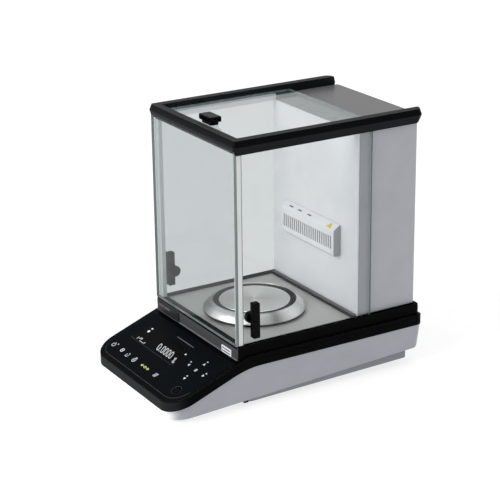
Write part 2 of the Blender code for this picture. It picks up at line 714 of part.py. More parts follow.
boolean(base_cover, add("panel_recess", panel_mesh(GAP, 2 * (PANEL_THICKNESS + GAP), 0.0)))
touch_panel = add("touch_panel", panel_mesh(0.0, PANEL_THICKNESS, PANEL_THICKNESS / 2), TOUCH_FILM)
window_hole = console_box("window_hole", window_x, window_y, OVERCUT / 2, -OVERCUT / 2)
level_hole = add("level_hole", console_rod(LEVEL_RADIUS, -0.6 * OVERCUT, 0.4 * OVERCUT))
for skin in (base_cover, touch_panel):
    boolean(skin, window_hole)
    boolean(skin, level_hole)
console_box("display_window", grown(window_x, -GAP), grown(window_y, -GAP), -GAP, -WINDOW_THICKNESS, SCREEN)
module_top = -COVER_WALL - GAP
console_box("display_module", grown(window_x, MODULE_MARGIN), grown(window_y, MODULE_MARGIN),
            module_top, module_top - MODULE_THICKNESS, BOARD)
add("level_lens", console_rod(LEVEL_RADIUS - GAP, -WINDOW_THICKNESS, -GAP), CLEAR)
level_x, level_y = level_at
vial_top = console_z(level_y) - LEVEL_RADIUS * math.tan(SLOPE) - VIAL_DROP
rod("level_vial", VIAL_RADIUS, (level_x, level_y, vial_top - VIAL_HEIGHT), VIAL_HEIGHT, mat=BRASS)

# ---- front band with its two plates -----------------------------------------------------------
band_low = CONSOLE_TOP + BAND_LIFT
label_low = band_low + 1 * MM
box("front_band", (-DOOR_OUTER, 0, band_low), (DOOR_OUTER, BAND_THICKNESS, DECK_HEIGHT - GAP), DARK_GREY)
label_x = -DOOR_OUTER + LABEL_INSET
box("band_label", (label_x, -GAP - LABEL_THICKNESS, label_low),
    (label_x + LABEL_WIDTH, -GAP, DECK_HEIGHT - 4 * MM), BLACK)
plaque_x = DOOR_OUTER - PLAQUE_INSET
box("band_plaque", (plaque_x - PLAQUE_WIDTH, -GAP - LABEL_THICKNESS, label_low),
    (plaque_x, -GAP, DECK_HEIGHT - 8 * MM), WHITE)

# ---- chamber floor, draught ring, pan and stem --------------------------------------------------
floor_plate = box("floor_plate", (-FLOOR_HALF, FLOOR_FRONT, FLOOR_TOP - FLOOR_THICKNESS),
                  (FLOOR_HALF, FLOOR_REAR, FLOOR_TOP), STEEL, origin=(0, PAN_Y, FLOOR_TOP))
boolean(floor_plate, rod("floor_hole", STEM_HOLE, (0, PAN_Y, stem_hole_low), 2 * OVERCUT))

ring_low = RIM_Z - RING_HEIGHT
ring_profile = [(RING_MOUTH, RIM_Z), (RING_FOOT, ring_low), (RING_FOOT - RING_WALL, ring_low),
                (RING_MOUTH - RING_WALL, RIM_Z - RING_WALL)]
draft_ring = turned("draft_ring", ring_profile, (0, PAN_Y, 0), STEEL, origin=(0, PAN_Y, RIM_Z))
leg_reach = RING_FOOT - RING_LEG - RING_LEG_INSET
leg_height = ring_low - FLOOR_TOP + RING_LEG_INSET
for k in range(3):
    angle = math.radians(90 + 120 * k)
    foot_at = (leg_reach * math.cos(angle), PAN_Y + leg_reach * math.sin(angle), FLOOR_TOP + GAP)
    leg = rod("ring_leg_%d" % (k + 1), RING_LEG, foot_at, leg_height, segments=12)
    boolean(draft_ring, leg, "UNION")

hub_low = PAN_TOP - HUB_DEPTH
socket_top = PAN_TOP - SOCKET_DROP
socket_radius = STEM_RADIUS + GAP
pan_inner = PAN_RADIUS - PAN_THICKNESS
pan_profile = [(0, PAN_TOP), (PAN_RADIUS - PAN_CHAMFER, PAN_TOP), (PAN_RADIUS, PAN_TOP - PAN_CHAMFER),
               (PAN_RADIUS, PAN_TOP - PAN_RIM), (pan_inner, PAN_TOP - PAN_RIM),
               (pan_inner, PAN_TOP - PAN_THICKNESS), (HUB_RADIUS, PAN_TOP - PAN_THICKNESS),
               (HUB_RADIUS, hub_low), (socket_radius, hub_low), (socket_radius, socket_top), (0, socket_top)]
turned("weighing_pan", pan_profile, (0, PAN_Y, 0), STEEL, origin=(0, PAN_Y, PAN_TOP))

CELL_HIGH = SEAM_HEIGHT + CELL_RISE
stem_low = CELL_HIGH + GAP
stem_foot_top = stem_low + STEM_FOOT_HEIGHT
collar_high = hub_low - GAP
collar_low = collar_high - COLLAR_HEIGHT
stem_profile = [(0, socket_top - GAP), (STEM_RADIUS, socket_top - GAP), (STEM_RADIUS, collar_high),
                (COLLAR_RADIUS, collar_high), (COLLAR_RADIUS, collar_low), (STEM_RADIUS, collar_low),
                (STEM_RADIUS, stem_foot_top), (STEM_FOOT_RADIUS, stem_foot_top),
                (STEM_FOOT_RADIUS, stem_low), (0, stem_low)]
turned("pan_stem", stem_profile, (0, PAN_Y, 0), STEEL, steps=24)

# ---- weigh cell and calibration weight ---------------------------------------------------------
cell_front = PAN_Y - CELL_LEAD
cell_rear = cell_front + CELL_LENGTH
force_cell = box("force_cell", (-CELL_HALF, cell_front, CELL_CLEARANCE), (CELL_HALF, cell_rear, CELL_HIGH),
                 ALUMINIUM)
slot_front = cell_front + CELL_SLOT_FRONT
for name, low in (("cell_slot_lower", CELL_CLEARANCE + CELL_SLOT_INSET),
                  ("cell_slot_upper", CELL_HIGH - CELL_SLOT_INSET - CELL_SLOT)):
    boolean(force_cell, box(name, (-2 * CELL_HALF, slot_front, low),
                            (2 * CELL_HALF, slot_front + CELL_SLOT_LENGTH, low + CELL_SLOT)))
bracket_rear = cell_rear - BRACKET_INSET
bracket_low = case_floor_z(bracket_rear) + CASE_WALL + BRACKET_SEAT
box("cell_bracket", (-CELL_HALF, bracket_rear - BRACKET_LENGTH, bracket_low),
    (CELL_HALF, bracket_rear, CELL_CLEARANCE - GAP), ALUMINIUM)

# The weight hangs half way between the cell and the side of the case.
wz = CELL_CLEARANCE + WEIGHT_RISE
case_inner = HALF - CASE_SIDE_STEP - CASE_WALL - CASE_TAPER * max(0.0, SEAM_HEIGHT - wz)
wx = -(CELL_HALF + case_inner) / 2
wy = PAN_Y + WEIGHT_SET
calibration_weight = rod("calibration_weight", WEIGHT_RADIUS, (wx - WEIGHT_HALF, wy, wz), 2 * WEIGHT_HALF,
                         "X", BRASS, (wx, wy, wz), 32)
journal_half = WEIGHT_HALF + JOURNAL_LENGTH
boolean(calibration_weight, rod("weight_journals", JOURNAL_RADIUS, (wx - journal_half, wy, wz),
                                2 * journal_half, "X"), "UNION")
fork_gap = WEIGHT_HALF + FORK_SIDE_GAP
fork_half = fork_gap + FORK_WALL
fork_low = wz - WEIGHT_RADIUS - FORK_FLOOR - 2 * MM
lifter_fork = box("lifter_fork", (wx - fork_half, wy - FORK_HALF_DEPTH, fork_low),
                  (wx + fork_half, wy + FORK_HALF_DEPTH, wz), BLACK, (wx, wy, fork_low))
boolean(lifter_fork, box("fork_gap", (wx - fork_gap, wy - OVERCUT, fork_low + FORK_FLOOR),
                         (wx + fork_gap, wy + OVERCUT, wz + OVERCUT)))
boolean(lifter_fork, rod("journal_seat", JOURNAL_RADIUS + GAP, (wx - 2 * OVERCUT, wy, wz), 4 * OVERCUT, "X"))
rod("lifter_motor", MOTOR_RADIUS, (wx, wy + MOTOR_SET, wz - MOTOR_DROP), MOTOR_LENGTH, "Y", ALUMINIUM)

# ---- rear housing, back wall and top cover -------------------------------------------------------
wall_half = HOUSING_HALF - GAP
housing_low = DECK_HEIGHT + GAP
housing_high = FRAME_BOTTOM - GAP
box("back_wall", (-wall_half, CHAMBER_DEPTH, housing_low),
    (wall_half, CHAMBER_DEPTH + WALL, housing_high), WHITE)
housing_outline = rounded_outline(HOUSING_HALF, HOUSING_FRONT, HOUSING_REAR, 0.5 * MM, HOUSING_RADIUS)
rear_housing = loft("rear_housing", [(housing_low, housing_outline), (housing_high, housing_outline)], SILVER)
room_half = HOUSING_HALF - HOUSING_SKIN
boolean(rear_housing, box("housing_room", (-room_half, HOUSING_FRONT - OVERCUT, housing_low - OVERCUT),
                          (room_half, HOUSING_REAR - HOUSING_SKIN, housing_high + OVERCUT)))

cover_half = RAIL_INNER - GAP
top_cover = box("top_cover", (-cover_half, CHAMBER_DEPTH, FRAME_BOTTOM),
                (cover_half, BODY_DEPTH - TOP_COVER_INSET, FRAME_BOTTOM + TOP_COVER_HEIGHT), DARK_GREY)
bevel(top_cover, 1 * MM)
box("wall_seal", (-wall_half, CHAMBER_DEPTH - GAP - SEAL_DEPTH, housing_low),
    (wall_half, CHAMBER_DEPTH - GAP, housing_low + SEAL_HEIGHT), RUBBER)

head_x = HOUSING_HALF - HEAD_INSET
head_low = housing_low + HEAD_INSET
head_high = housing_high - HEAD_INSET
head_places = [(x, z) for z in (head_low, head_high) for x in (-head_x, head_x)]
for k, (x, z) in enumerate(head_places):
    rod("housing_screw_%d" % (k + 1), HEAD_RADIUS, (x, HOUSING_REAR + GAP, z), HEAD_HEIGHT, "Y",
        STEEL, segments=16)

# ---- ionizer on the back wall ---------------------------------------------------------------------
ion_low = DECK_HEIGHT + ION_RISE
ion_rear = CHAMBER_DEPTH - GAP
ion_front = CHAMBER_DEPTH - ION_DEPTH
ion_top = ion_low + ION_FRONT_HEIGHT
ion_outline = [(ion_front, ion_low), (ion_rear, ion_low - ION_UNDERCUT),
               (ion_rear, ion_top + ION_SLOPE_HEIGHT), (ion_front, ion_top)]
ionizer_cover = side_profile("ionizer_cover", ion_outline, 2 * ION_HALF, WHITE)
ion_room_half = ION_HALF - ION_SHELL
boolean(ionizer_cover, box("ionizer_room", (-ion_room_half, ion_front + ION_SHELL, ion_low + ION_SHELL),
                           (ion_room_half, ion_rear + OVERCUT, ion_top - ION_SHELL)))
slot_left = -ION_SLOT_SPAN / 2
slot_low = ion_low + ION_SLOT_LOW
slot_comb = box("ionizer_slots", (slot_left, ion_front - ION_SHELL, slot_low),
                (slot_left + ION_SLOT_WIDTH, ion_front + 2 * ION_SHELL, slot_low + ION_SLOT_HEIGHT))
repeat = slot_comb.modifiers.new("slot_row", "ARRAY")
repeat.count = ION_SLOTS
repeat.use_relative_offset = False
repeat.use_constant_offset = True
repeat.constant_offset_displace = (ION_SLOT_SPAN / ION_SLOTS, 0, 0)
boolean(ionizer_cover, slot_comb)
electrode_half = ion_room_half - ELECTRODE_MARGIN
electrode_low = ion_low + ELECTRODE_LOW
box("electrode_bar", (-electrode_half, ion_front + ION_SHELL + ELECTRODE_MARGIN, electrode_low),
    (electrode_half, ion_rear - 1 * MM, electrode_low + ELECTRODE_HEIGHT), BLACK)

# ---- electronics in the housing --------------------------------------------------------------------
board_x, board_y, board_z = BOARD_SIZE
board_rear = HOUSING_REAR - HOUSING_SKIN - BOARD_STANDOFF
board_low = DECK_HEIGHT + BOARD_RISE
box("main_board", (-board_x / 2, board_rear - board_y, board_low),
    (board_x / 2, board_rear, board_low + board_z), BOARD)
rim_half = board_x / 2 - BRACKET_MARGIN
rim_low = board_low + BRACKET_MARGIN
rim_high = board_low + board_z - BRACKET_MARGIN
board_bracket = box("board_bracket", (-rim_half, board_rear + GAP, rim_low),
                    (rim_half, HOUSING_REAR - HOUSING_SKIN - GAP, rim_high), ALUMINIUM)
boolean(board_bracket, box("bracket_opening",
                           (-rim_half + BRACKET_BORDER, board_rear - OVERCUT, rim_low + BRACKET_BORDER),
                           (rim_half - BRACKET_BORDER, HOUSING_REAR, rim_high - BRACKET_BORDER)))
supply_x, supply_y, supply_z = SUPPLY_SIZE
supply_low = DECK_HEIGHT + SUPPLY_RISE
box("ionizer_supply", (-supply_x / 2, HOUSING_FRONT + 1 * MM, supply_low),
    (supply_x / 2, HOUSING_FRONT + 1 * MM + supply_y, supply_low + supply_z), DARK_GREY)

# ---- sockets in the rear wall of the lower case ------------------------------------------------------
port_z = SEAM_HEIGHT - PORT_DROP
case_rear = BODY_DEPTH - CASE_END_STEP
port_face = case_rear - PORT_RECESS
port_inner = case_rear - PORT_DEPTH
plate_half_x, plate_half_z = PORT_PLATE_HALF
plate_inner = case_rear - GAP - PORT_PLATE_THICKNESS
port_plate = box("port_plate", (-plate_half_x, plate_inner, port_z - plate_half_z),
                 (plate_half_x, case_rear - GAP, port_z + plate_half_z), BLACK)
boolean(lower_case, box("port_recess", (-plate_half_x - GAP, plate_inner - GAP, port_z - plate_half_z - GAP),
                        (plate_half_x + GAP, case_rear + OVERCUT, port_z + plate_half_z + GAP)))


def socket_box(name, x, half, inset, inner, outer, mat=None):
    """A box round a socket's middle, its half sizes drawn in by inset."""
    half_x = half[0] - inset
    half_z = half[1] - inset
    return box(name, (x - half_x, inner, port_z - half_z), (x + half_x, outer, port_z + half_z), mat)


for word, x, half in (("serial", SERIAL_AT, SERIAL_HALF), ("usb", USB_AT, USB_HALF)):
    body = socket_box(word + "_port", x, half, 0.0, port_inner, port_face, STEEL)
    boolean(body, socket_box(word + "_room", x, half, PORT_SHELL,
                             case_rear - PORT_ROOM, case_rear + OVERCUT))
    hole = socket_box(word + "_hole", x, half, -GAP, port_inner - OVERCUT, case_rear + OVERCUT)
    boolean(lower_case, hole)
    boolean(port_plate, hole)
power_inlet = rod("power_inlet", INLET_RADIUS, (INLET_AT, port_inner, port_z),
                  port_face - port_inner, "Y", BLACK)
boolean(power_inlet, rod("inlet_room", INLET_ROOM_RADIUS, (INLET_AT, case_rear - INLET_ROOM, port_z),
                         INLET_ROOM + OVERCUT, "Y"))
inlet_hole = rod("inlet_hole", INLET_RADIUS + GAP, (INLET_AT, port_inner - OVERCUT, port_z),
                 3 * OVERCUT, "Y")
boolean(lower_case, inlet_hole)
boolean(port_plate, inlet_hole)


# ---- top frame ------------------------------------------------------------------------------------
def frame_outline(inset):
    """Plan of the frame's outside; its rear end is cut square later."""
    return rounded_outline(FRAME_HALF, -FRAME_NOSE, FRAME_END + OVERCUT, FRAME_RADIUS, FRAME_RADIUS, inset)


top_frame = loft("top_frame", [(FRAME_BOTTOM, frame_outline(2.6 * MM)),
                               (FRAME_TOP - FRAME_CREASE, frame_outline(0.0)),
                               (FRAME_TOP - 1.8 * MM, frame_outline(2.2 * MM)),
                               (FRAME_TOP, frame_outline(4.2 * MM))], BLACK)
frame_low = FRAME_BOTTOM - OVERCUT
boolean(top_frame, box("frame_opening", (-RAIL_INNER, FRONT_RAIL, frame_low),
                       (RAIL_INNER, FRAME_END + 2 * OVERCUT, FRAME_TOP + OVERCUT)))
boolean(top_frame, box("frame_end", (-BASE_WIDTH, FRAME_END, frame_low),
                       (BASE_WIDTH, FRAME_END + 2 * OVERCUT, FRAME_TOP + OVERCUT)))
boolean(top_frame, box("front_glass_slot", (-DOOR_OUTER - GAP, -GAP, frame_low),
                       (DOOR_OUTER + GAP, FRONT_GLASS + GAP, FRAME_BOTTOM + FRAME_SLOT)))
runner_outer = DOOR_INNER - SLIDE_GAP - RUNNER_INSET
runner_inner = runner_outer - RUNNER_WIDTH
for side, word in SIDES:
    low_x, high_x = mirrored(side, TRACK_INNER, TRACK_OUTER)
    boolean(top_frame, box("upper_track_" + word, (low_x, DOOR_FRONT - SLIDE_GAP, frame_low),
                           (high_x, FRAME_END + OVERCUT, FRAME_BOTTOM + FRAME_SLOT)))
    low_x, high_x = mirrored(side, runner_inner - OVERCUT, runner_outer + GAP)
    boolean(top_frame, box("runner_seat_" + word, (low_x, FRONT_RAIL - GAP, frame_low),
                           (high_x, CHAMBER_DEPTH + GAP, TOP_GLASS_BOTTOM)))
    low_x, high_x = mirrored(side, runner_inner, runner_outer)
    box("glass_runner_" + word, (low_x, FRONT_RAIL + GAP, FRAME_BOTTOM + GAP),
        (high_x, CHAMBER_DEPTH - GAP, TOP_GLASS_BOTTOM - GAP), WHITE)

# ---- glass -------------------------------------------------------------------------------------------
glass_low = DECK_HEIGHT + GAP
box("front_glass", (-DOOR_OUTER, 0, glass_low),
    (DOOR_OUTER, FRONT_GLASS, FRAME_BOTTOM + FRAME_SLOT - GAP), CLEAR)
for side, word in SIDES:
    low_x, high_x = mirrored(side, DOOR_OUTER - CORNER_WIDTH, DOOR_OUTER)
    box("corner_post_" + word, (low_x, FRONT_GLASS + GAP, glass_low),
        (high_x, FRONT_GLASS + CORNER_DEPTH, FRAME_BOTTOM - GAP), WHITE)

top_half = RAIL_INNER - SLIDE_GAP
top_front = FRONT_RAIL + SLIDE_GAP
box("top_glass", (-top_half, top_front, TOP_GLASS_BOTTOM),
    (top_half, CHAMBER_DEPTH + TOP_OVERLAP, TOP_GLASS_TOP),
    CLEAR, (0, top_front, TOP_GLASS_BOTTOM))
grip_x, grip_y, grip_z = GRIP_SIZE
grip_top = FRAME_TOP + GRIP_RISE
top_grip = box("top_grip", (-grip_x / 2, GRIP_Y - grip_y / 2, grip_top - grip_z),
               (grip_x / 2, GRIP_Y + grip_y / 2, grip_top), BLACK, (0, GRIP_Y, TOP_GLASS_TOP))
grip_foot_x = grip_x / 2 - GRIP_FOOT_INSET[0]
grip_foot_y = grip_y / 2 - GRIP_FOOT_INSET[1]
boolean(top_grip, box("grip_foot", (-grip_foot_x, GRIP_Y - grip_foot_y, TOP_GLASS_TOP + GAP),
                      (grip_foot_x, GRIP_Y + grip_foot_y, grip_top - grip_z / 2)), "UNION")
bevel(top_grip, 1.2 * MM)

# ---- side doors with their handles -------------------------------------------------------------------
handle_z = DECK_HEIGHT + HANDLE_RISE
handle_x, handle_y, handle_height = HANDLE_SIZE
door_low = DECK_HEIGHT - TRACK_DEPTH + SLIDE_GAP
door_high = FRAME_BOTTOM + FRAME_SLOT - SLIDE_GAP
for side, word in SIDES:
    slide_point = (side * DOOR_OUTER, DOOR_FRONT, DECK_HEIGHT)
    low_x, high_x = mirrored(side, DOOR_INNER, DOOR_OUTER)
    box("door_glass_" + word, (low_x, DOOR_FRONT, door_low), (high_x, DOOR_FRONT + DOOR_LENGTH, door_high),
        CLEAR, slide_point)
    low_x, high_x = mirrored(side, DOOR_OUTER + GAP, DOOR_OUTER + GAP + handle_x)
    handle = box("door_handle_" + word, (low_x, HANDLE_Y - handle_y / 2, handle_z - handle_height / 2),
                 (high_x, HANDLE_Y + handle_y / 2, handle_z + handle_height / 2), BLACK, slide_point)
    bevel(handle, 2 * MM)
    low_x, high_x = mirrored(side, DOOR_INNER - GAP, DOOR_INNER - GAP - BOSS_DEPTH)
    radii = (BOSS_RADIUS, BOSS_TIP_RADIUS) if side < 0 else (BOSS_TIP_RADIUS, BOSS_RADIUS)
    rod("door_boss_" + word, radii[0], (low_x, HANDLE_Y, handle_z), high_x - low_x, "X", BLACK, slide_point,
        24, radii[1])

# ---- feet --------------------------------------------------------------------------------------------
foot_y = BODY_DEPTH - REAR_FOOT_INSET[1]
front_y = FRONT + FRONT_FOOT_INSET[1]
front_top = case_floor_z(front_y - FOOT_RADIUS) + 1 * MM
wheel_low = PAD_HEIGHT + GAP
wheel_top = PLINTH_CLEARANCE - WHEEL_GAP
pad_profile = [(0, PAD_HEIGHT), (PAD_TOP_RADIUS, PAD_HEIGHT), (FOOT_RADIUS, PAD_EDGE),
               (FOOT_RADIUS, 0), (0, 0)]
screw_profile = [(0, SCREW_HEIGHT), (SCREW_RADIUS, SCREW_HEIGHT), (SCREW_RADIUS, wheel_top),
                 (WHEEL_RADIUS, wheel_top), (WHEEL_RADIUS, wheel_low), (0, wheel_low)]
front_profile = [(0, front_top), (FOOT_RADIUS, front_top), (FOOT_RADIUS, FOOT_CHAMFER),
                 (FOOT_RADIUS - FOOT_CHAMFER, 0), (0, 0)]
for side, word in SIDES:
    foot_x = side * (HALF - REAR_FOOT_INSET[0])
    turned("foot_pad_" + word, pad_profile, (foot_x, foot_y, 0), RUBBER, 24, (foot_x, foot_y, 0))
    turned("foot_screw_" + word, screw_profile, (foot_x, foot_y, 0), STEEL, 24, (foot_x, foot_y, wheel_low))
    sleeve = rod("foot_insert_" + word, INSERT_RADIUS, (foot_x, foot_y, PLINTH_CLEARANCE + GAP),
                 INSERT_HEIGHT, mat=BRASS)
    boolean(sleeve, rod("screw_bore_" + word, SCREW_RADIUS + SCREW_CLEARANCE, (foot_x, foot_y, 0),
                        3 * OVERCUT))
    socket = rod("insert_socket_" + word, INSERT_RADIUS + GAP, (foot_x, foot_y, 0), 3 * OVERCUT)
    boolean(lower_case, socket)
    boolean(bottom_plate, socket)
    front_x = side * (HALF - FRONT_FOOT_INSET[0])
    turned("front_foot_" + word, front_profile, (front_x, front_y, 0), RUBBER, 24)
    boolean(lower_case, rod("front_socket_" + word, FOOT_RADIUS + GAP, (front_x, front_y, -OVERCUT),
                            OVERCUT + front_top + GAP))
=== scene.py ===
"""Analytical balance: the fine surface of each visible piece, its finishes and a small studio.

Lengths are in metres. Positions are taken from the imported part's own boxes. Depths written in
millimetres are measured back from the outer face of the front glass.
"""

import math

import bpy
from mathutils import Matrix, Vector


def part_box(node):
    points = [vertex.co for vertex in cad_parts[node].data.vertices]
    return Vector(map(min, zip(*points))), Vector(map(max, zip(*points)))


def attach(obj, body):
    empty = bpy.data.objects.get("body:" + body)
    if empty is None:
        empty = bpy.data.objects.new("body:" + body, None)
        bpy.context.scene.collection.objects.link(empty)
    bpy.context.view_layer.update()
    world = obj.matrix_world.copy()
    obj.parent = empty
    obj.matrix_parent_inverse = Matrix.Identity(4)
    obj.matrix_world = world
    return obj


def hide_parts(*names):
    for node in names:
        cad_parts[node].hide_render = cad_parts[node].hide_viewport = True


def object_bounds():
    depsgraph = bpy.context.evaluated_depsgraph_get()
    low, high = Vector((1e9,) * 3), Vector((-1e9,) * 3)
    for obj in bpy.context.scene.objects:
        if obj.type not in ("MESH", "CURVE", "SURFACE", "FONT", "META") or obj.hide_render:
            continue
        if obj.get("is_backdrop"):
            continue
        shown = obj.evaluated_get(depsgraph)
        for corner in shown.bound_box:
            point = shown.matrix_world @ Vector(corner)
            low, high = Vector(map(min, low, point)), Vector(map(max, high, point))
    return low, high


bl_info = {
    "name": "Analytical Balance",
    "version": (1, 0, 0),
    "blender": (4, 5, 0),
    "location": "View3D > Sidebar > Balance",
    "description": "Builds the visible surfaces of an analytical balance and its studio",
    "category": "Add Mesh",
}

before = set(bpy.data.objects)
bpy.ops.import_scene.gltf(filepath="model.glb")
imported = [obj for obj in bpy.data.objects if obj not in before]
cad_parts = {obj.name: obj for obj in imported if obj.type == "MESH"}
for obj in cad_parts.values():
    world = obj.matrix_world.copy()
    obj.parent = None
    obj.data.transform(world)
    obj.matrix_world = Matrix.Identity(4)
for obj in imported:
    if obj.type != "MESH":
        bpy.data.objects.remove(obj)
MM = 0.001
BOX = {name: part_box(name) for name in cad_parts}
GLASS_FACE = BOX["front_glass"][0].y
DECK = BOX["base_cover"][1].z

# Sizes in millimetres that several pieces keep to.
PRINT = 0.12            # the film and the marks stand this far above the console's surface
SEAM_BEND = (-8, 32)    # depths between which the case's upper edge bends
PANE_ROOM = 0.6         # round a pane that slides in a slot
BLOCK_INSET = 3.5       # chamber block in from the cover's sides
RAIL_INSET = 9.1        # top frame's inner edge in from the doors
FRONT_RAIL = 12
RING_HEIGHT = 10.9      # draught ring, without its legs
RING_FLARE = 12.5       # its foot beyond its mouth
CREST_DROP = 6.5        # the ionizer's sloping top, front edge below the wall


# ---- places -------------------------------------------------------------------------------
def at(x, y, z):
    """A point given in millimetres, its depth measured from the front glass."""
    return Vector((x * MM, y * MM + GLASS_FACE, z * MM))


def span(node):
    """A node's box in the same millimetres: x0, x1, y0, y1, z0, z1."""
    low, high = BOX[node]
    return (low.x / MM, high.x / MM, (low.y - GLASS_FACE) / MM, (high.y - GLASS_FACE) / MM,
            low.z / MM, high.z / MM)


def across(side, near, far):
    """A stretch on the right (side 1) or its mirror on the left (-1): lower x, upper x."""
    return sorted((side * near, side * far))


def rounded(corners, steps=8):
    """A closed outline whose corners (x, y, radius) are replaced by arcs."""
    points = []
    count = len(corners)
    for i, (x, y, radius) in enumerate(corners):
        here = Vector((x, y))
        if radius <= 0:
            points.append(here)
            continue
        before = (Vector(corners[i - 1][:2]) - here).normalized()
        after = (Vector(corners[(i + 1) % count][:2]) - here).normalized()
        half = before.angle(after) / 2
        centre = here + (before + after).normalized() * radius / math.sin(half)
        start = here + before * radius / math.tan(half) - centre
        turn = math.pi - 2 * half
        sign = 1 if before.cross(after) < 0 else -1
        for k in range(steps + 1):
            angle = sign * turn * k / steps
            cos, sin = math.cos(angle), math.sin(angle)
            points.append(centre + Vector((start.x * cos - start.y * sin,
                                           start.x * sin + start.y * cos)))
    return points


def rectangle(x0, x1, y0, y1, radii, steps=8):
    """A rounded rectangle seen from above, its radii anticlockwise from the front left."""
    return rounded([(x0, y0, radii[0]), (x1, y0, radii[1]), (x1, y1, radii[2]), (x0, y1, radii[3])],
                   steps)


# ---- modelling ----------------------------------------------------------------------------
def clear_selection():
    if bpy.context.object and bpy.context.object.mode != "OBJECT":
        bpy.ops.object.mode_set(mode="OBJECT")
    bpy.ops.object.select_all(action="DESELECT")


def only(obj):
    """Leaves obj alone selected and active."""
    clear_selection()
    obj.select_set(True)
    bpy.context.view_layer.objects.active = obj
    return obj


def named(name):
    obj = bpy.context.object
    obj.name = name
    obj.data.name = name
    return obj


def freeze(obj):
    """Writes the active object's place, turn and scale into its mesh."""
    bpy.ops.object.transform_apply(location=True, rotation=True, scale=True)
    return obj


def pick_faces(obj, test):
    """Opens edit mode with just the faces chosen by test(centre, normal)."""
    only(obj)
    bpy.ops.object.mode_set(mode="EDIT")
    bpy.ops.mesh.select_mode(type="FACE")
    bpy.ops.mesh.select_all(action="DESELECT")
    bpy.ops.object.mode_set(mode="OBJECT")
    for face in obj.data.polygons:
        face.select = bool(test(face.center, face.normal))
    bpy.ops.object.mode_set(mode="EDIT")


def open_mesh(obj):
    """Opens edit mode with the whole mesh selected."""
    only(obj)
    bpy.ops.object.mode_set(mode="EDIT")
    bpy.ops.mesh.select_all(action="SELECT")
    return obj


def settle():
    """Recalculates the normals of the mesh being edited and leaves edit mode."""
    bpy.ops.mesh.select_all(action="SELECT")
    bpy.ops.mesh.normals_make_consistent(inside=False)
    bpy.ops.object.mode_set(mode="OBJECT")


def sheet(name, points):
    """One flat face with its corners at the points."""
    clear_selection()
    bpy.ops.mesh.primitive_circle_add(vertices=len(points), radius=1, fill_type="NGON")
    obj = named(name)
    for vertex, point in zip(obj.data.vertices, points):
        vertex.co = point
    return obj


def prism(name, points, step):
    """A flat outline drawn out by the vector step."""
    obj = open_mesh(sheet(name, points))
    bpy.ops.mesh.extrude_region_move(TRANSFORM_OT_translate={"value": tuple(step)})
    settle()
    return obj


def plan_prism(name, outline, z0, z1):
    return prism(name, [at(p.x, p.y, z0) for p in outline], (0, 0, (z1 - z0) * MM))


def side_prism(name, outline, x0, x1):
    """An outline of (depth, height) drawn out from x0 to x1."""
    return prism(name, [at(x0, p.x, p.y) for p in outline], ((x1 - x0) * MM, 0, 0))


def block(name, x0, x1, y0, y1, z0, z1):
    clear_selection()
    low, high = at(x0, y0, z0), at(x1, y1, z1)
    bpy.ops.mesh.primitive_cube_add(size=1, location=(low + high) / 2, scale=high - low)
    obj = named(name)
    return freeze(obj)


def rod(name, x, y, z, radius, length, axis="Z", vertices=48):
    clear_selection()
    turn = {"Z": (0, 0, 0), "Y": (math.pi / 2, 0, 0), "X": (0, math.pi / 2, 0)}[axis]
    bpy.ops.mesh.primitive_cylinder_add(vertices=vertices, radius=radius * MM, depth=length * MM,
                                        location=at(x, y, z), rotation=turn)
    obj = named(name)
    return freeze(obj)


def lathe(name, profile, x, y, steps=96):
    """A closed (radius, height) profile turned about the upright axis through x, y."""
    obj = open_mesh(sheet(name, [at(x + r, y, z) for r, z in profile]))
    bpy.ops.mesh.delete(type="ONLY_FACE")
    bpy.ops.mesh.select_all(action="SELECT")
    bpy.ops.mesh.spin(steps=steps, angle=2 * math.pi, center=at(x, y, 0), axis=(0, 0, 1))
    bpy.ops.mesh.select_all(action="SELECT")
    bpy.ops.mesh.remove_doubles(threshold=0.00001)
    bpy.ops.mesh.dissolve_degenerate(threshold=0.000001)
    settle()
    return obj


def apply_all(obj):
    only(obj)
    for modifier in list(obj.modifiers):
        bpy.ops.object.modifier_apply(modifier=modifier.name)
    return obj


def combine(obj, other, operation):
    """Applies a Boolean and removes the other object."""
    modifier = obj.modifiers.new("combine", "BOOLEAN")
    modifier.operation = operation
    modifier.solver = "EXACT"
    modifier.object = other
    apply_all(obj)
    bpy.data.objects.remove(other)
    return obj


def cut(obj, *cutters):
    for cutter in cutters:
        combine(obj, cutter, "DIFFERENCE")
    return obj


def join(name, pieces):
    """Several meshes as one object."""
    clear_selection()
    for piece in pieces:
        piece.select_set(True)
    bpy.context.view_layer.objects.active = pieces[0]
    if len(pieces) > 1:
        bpy.ops.object.join()
    return named(name)


def soften(obj, width, segments=3, angle=35):
    """Rounds every edge sharper than the angle."""
    modifier = obj.modifiers.new("soften", "BEVEL")
    modifier.width = width * MM
    modifier.segments = segments
    modifier.limit_method = "ANGLE"
    modifier.angle_limit = math.radians(angle)
    modifier.miter_outer = "MITER_ARC"
    apply_all(obj)
    return smooth(obj)


def smooth(obj, angle=32):
    only(obj)
    bpy.ops.object.shade_smooth_by_angle(angle=math.radians(angle))
    modifier = obj.modifiers.new("weighted", "WEIGHTED_NORMAL")
    modifier.keep_sharp = True
    return apply_all(obj)


def box_block(node, bevel):
    """A rounded block that fills a node's box."""
    return soften(block(node + "_surface", *span(node)), bevel)


def dress(obj, *finishes):
    """Gives a piece the finishes of these names, one material slot each."""
    obj.data.materials.clear()
    for finish in finishes:
        obj.data.materials.append(FINISH[finish])
    return obj


def second_finish(obj, test, slot=1):
    """Gives the faces chosen by test(centre, normal) another material slot."""
    for face in obj.data.polygons:
        if test(face.center, face.normal):
            face.material_index = slot
    return obj


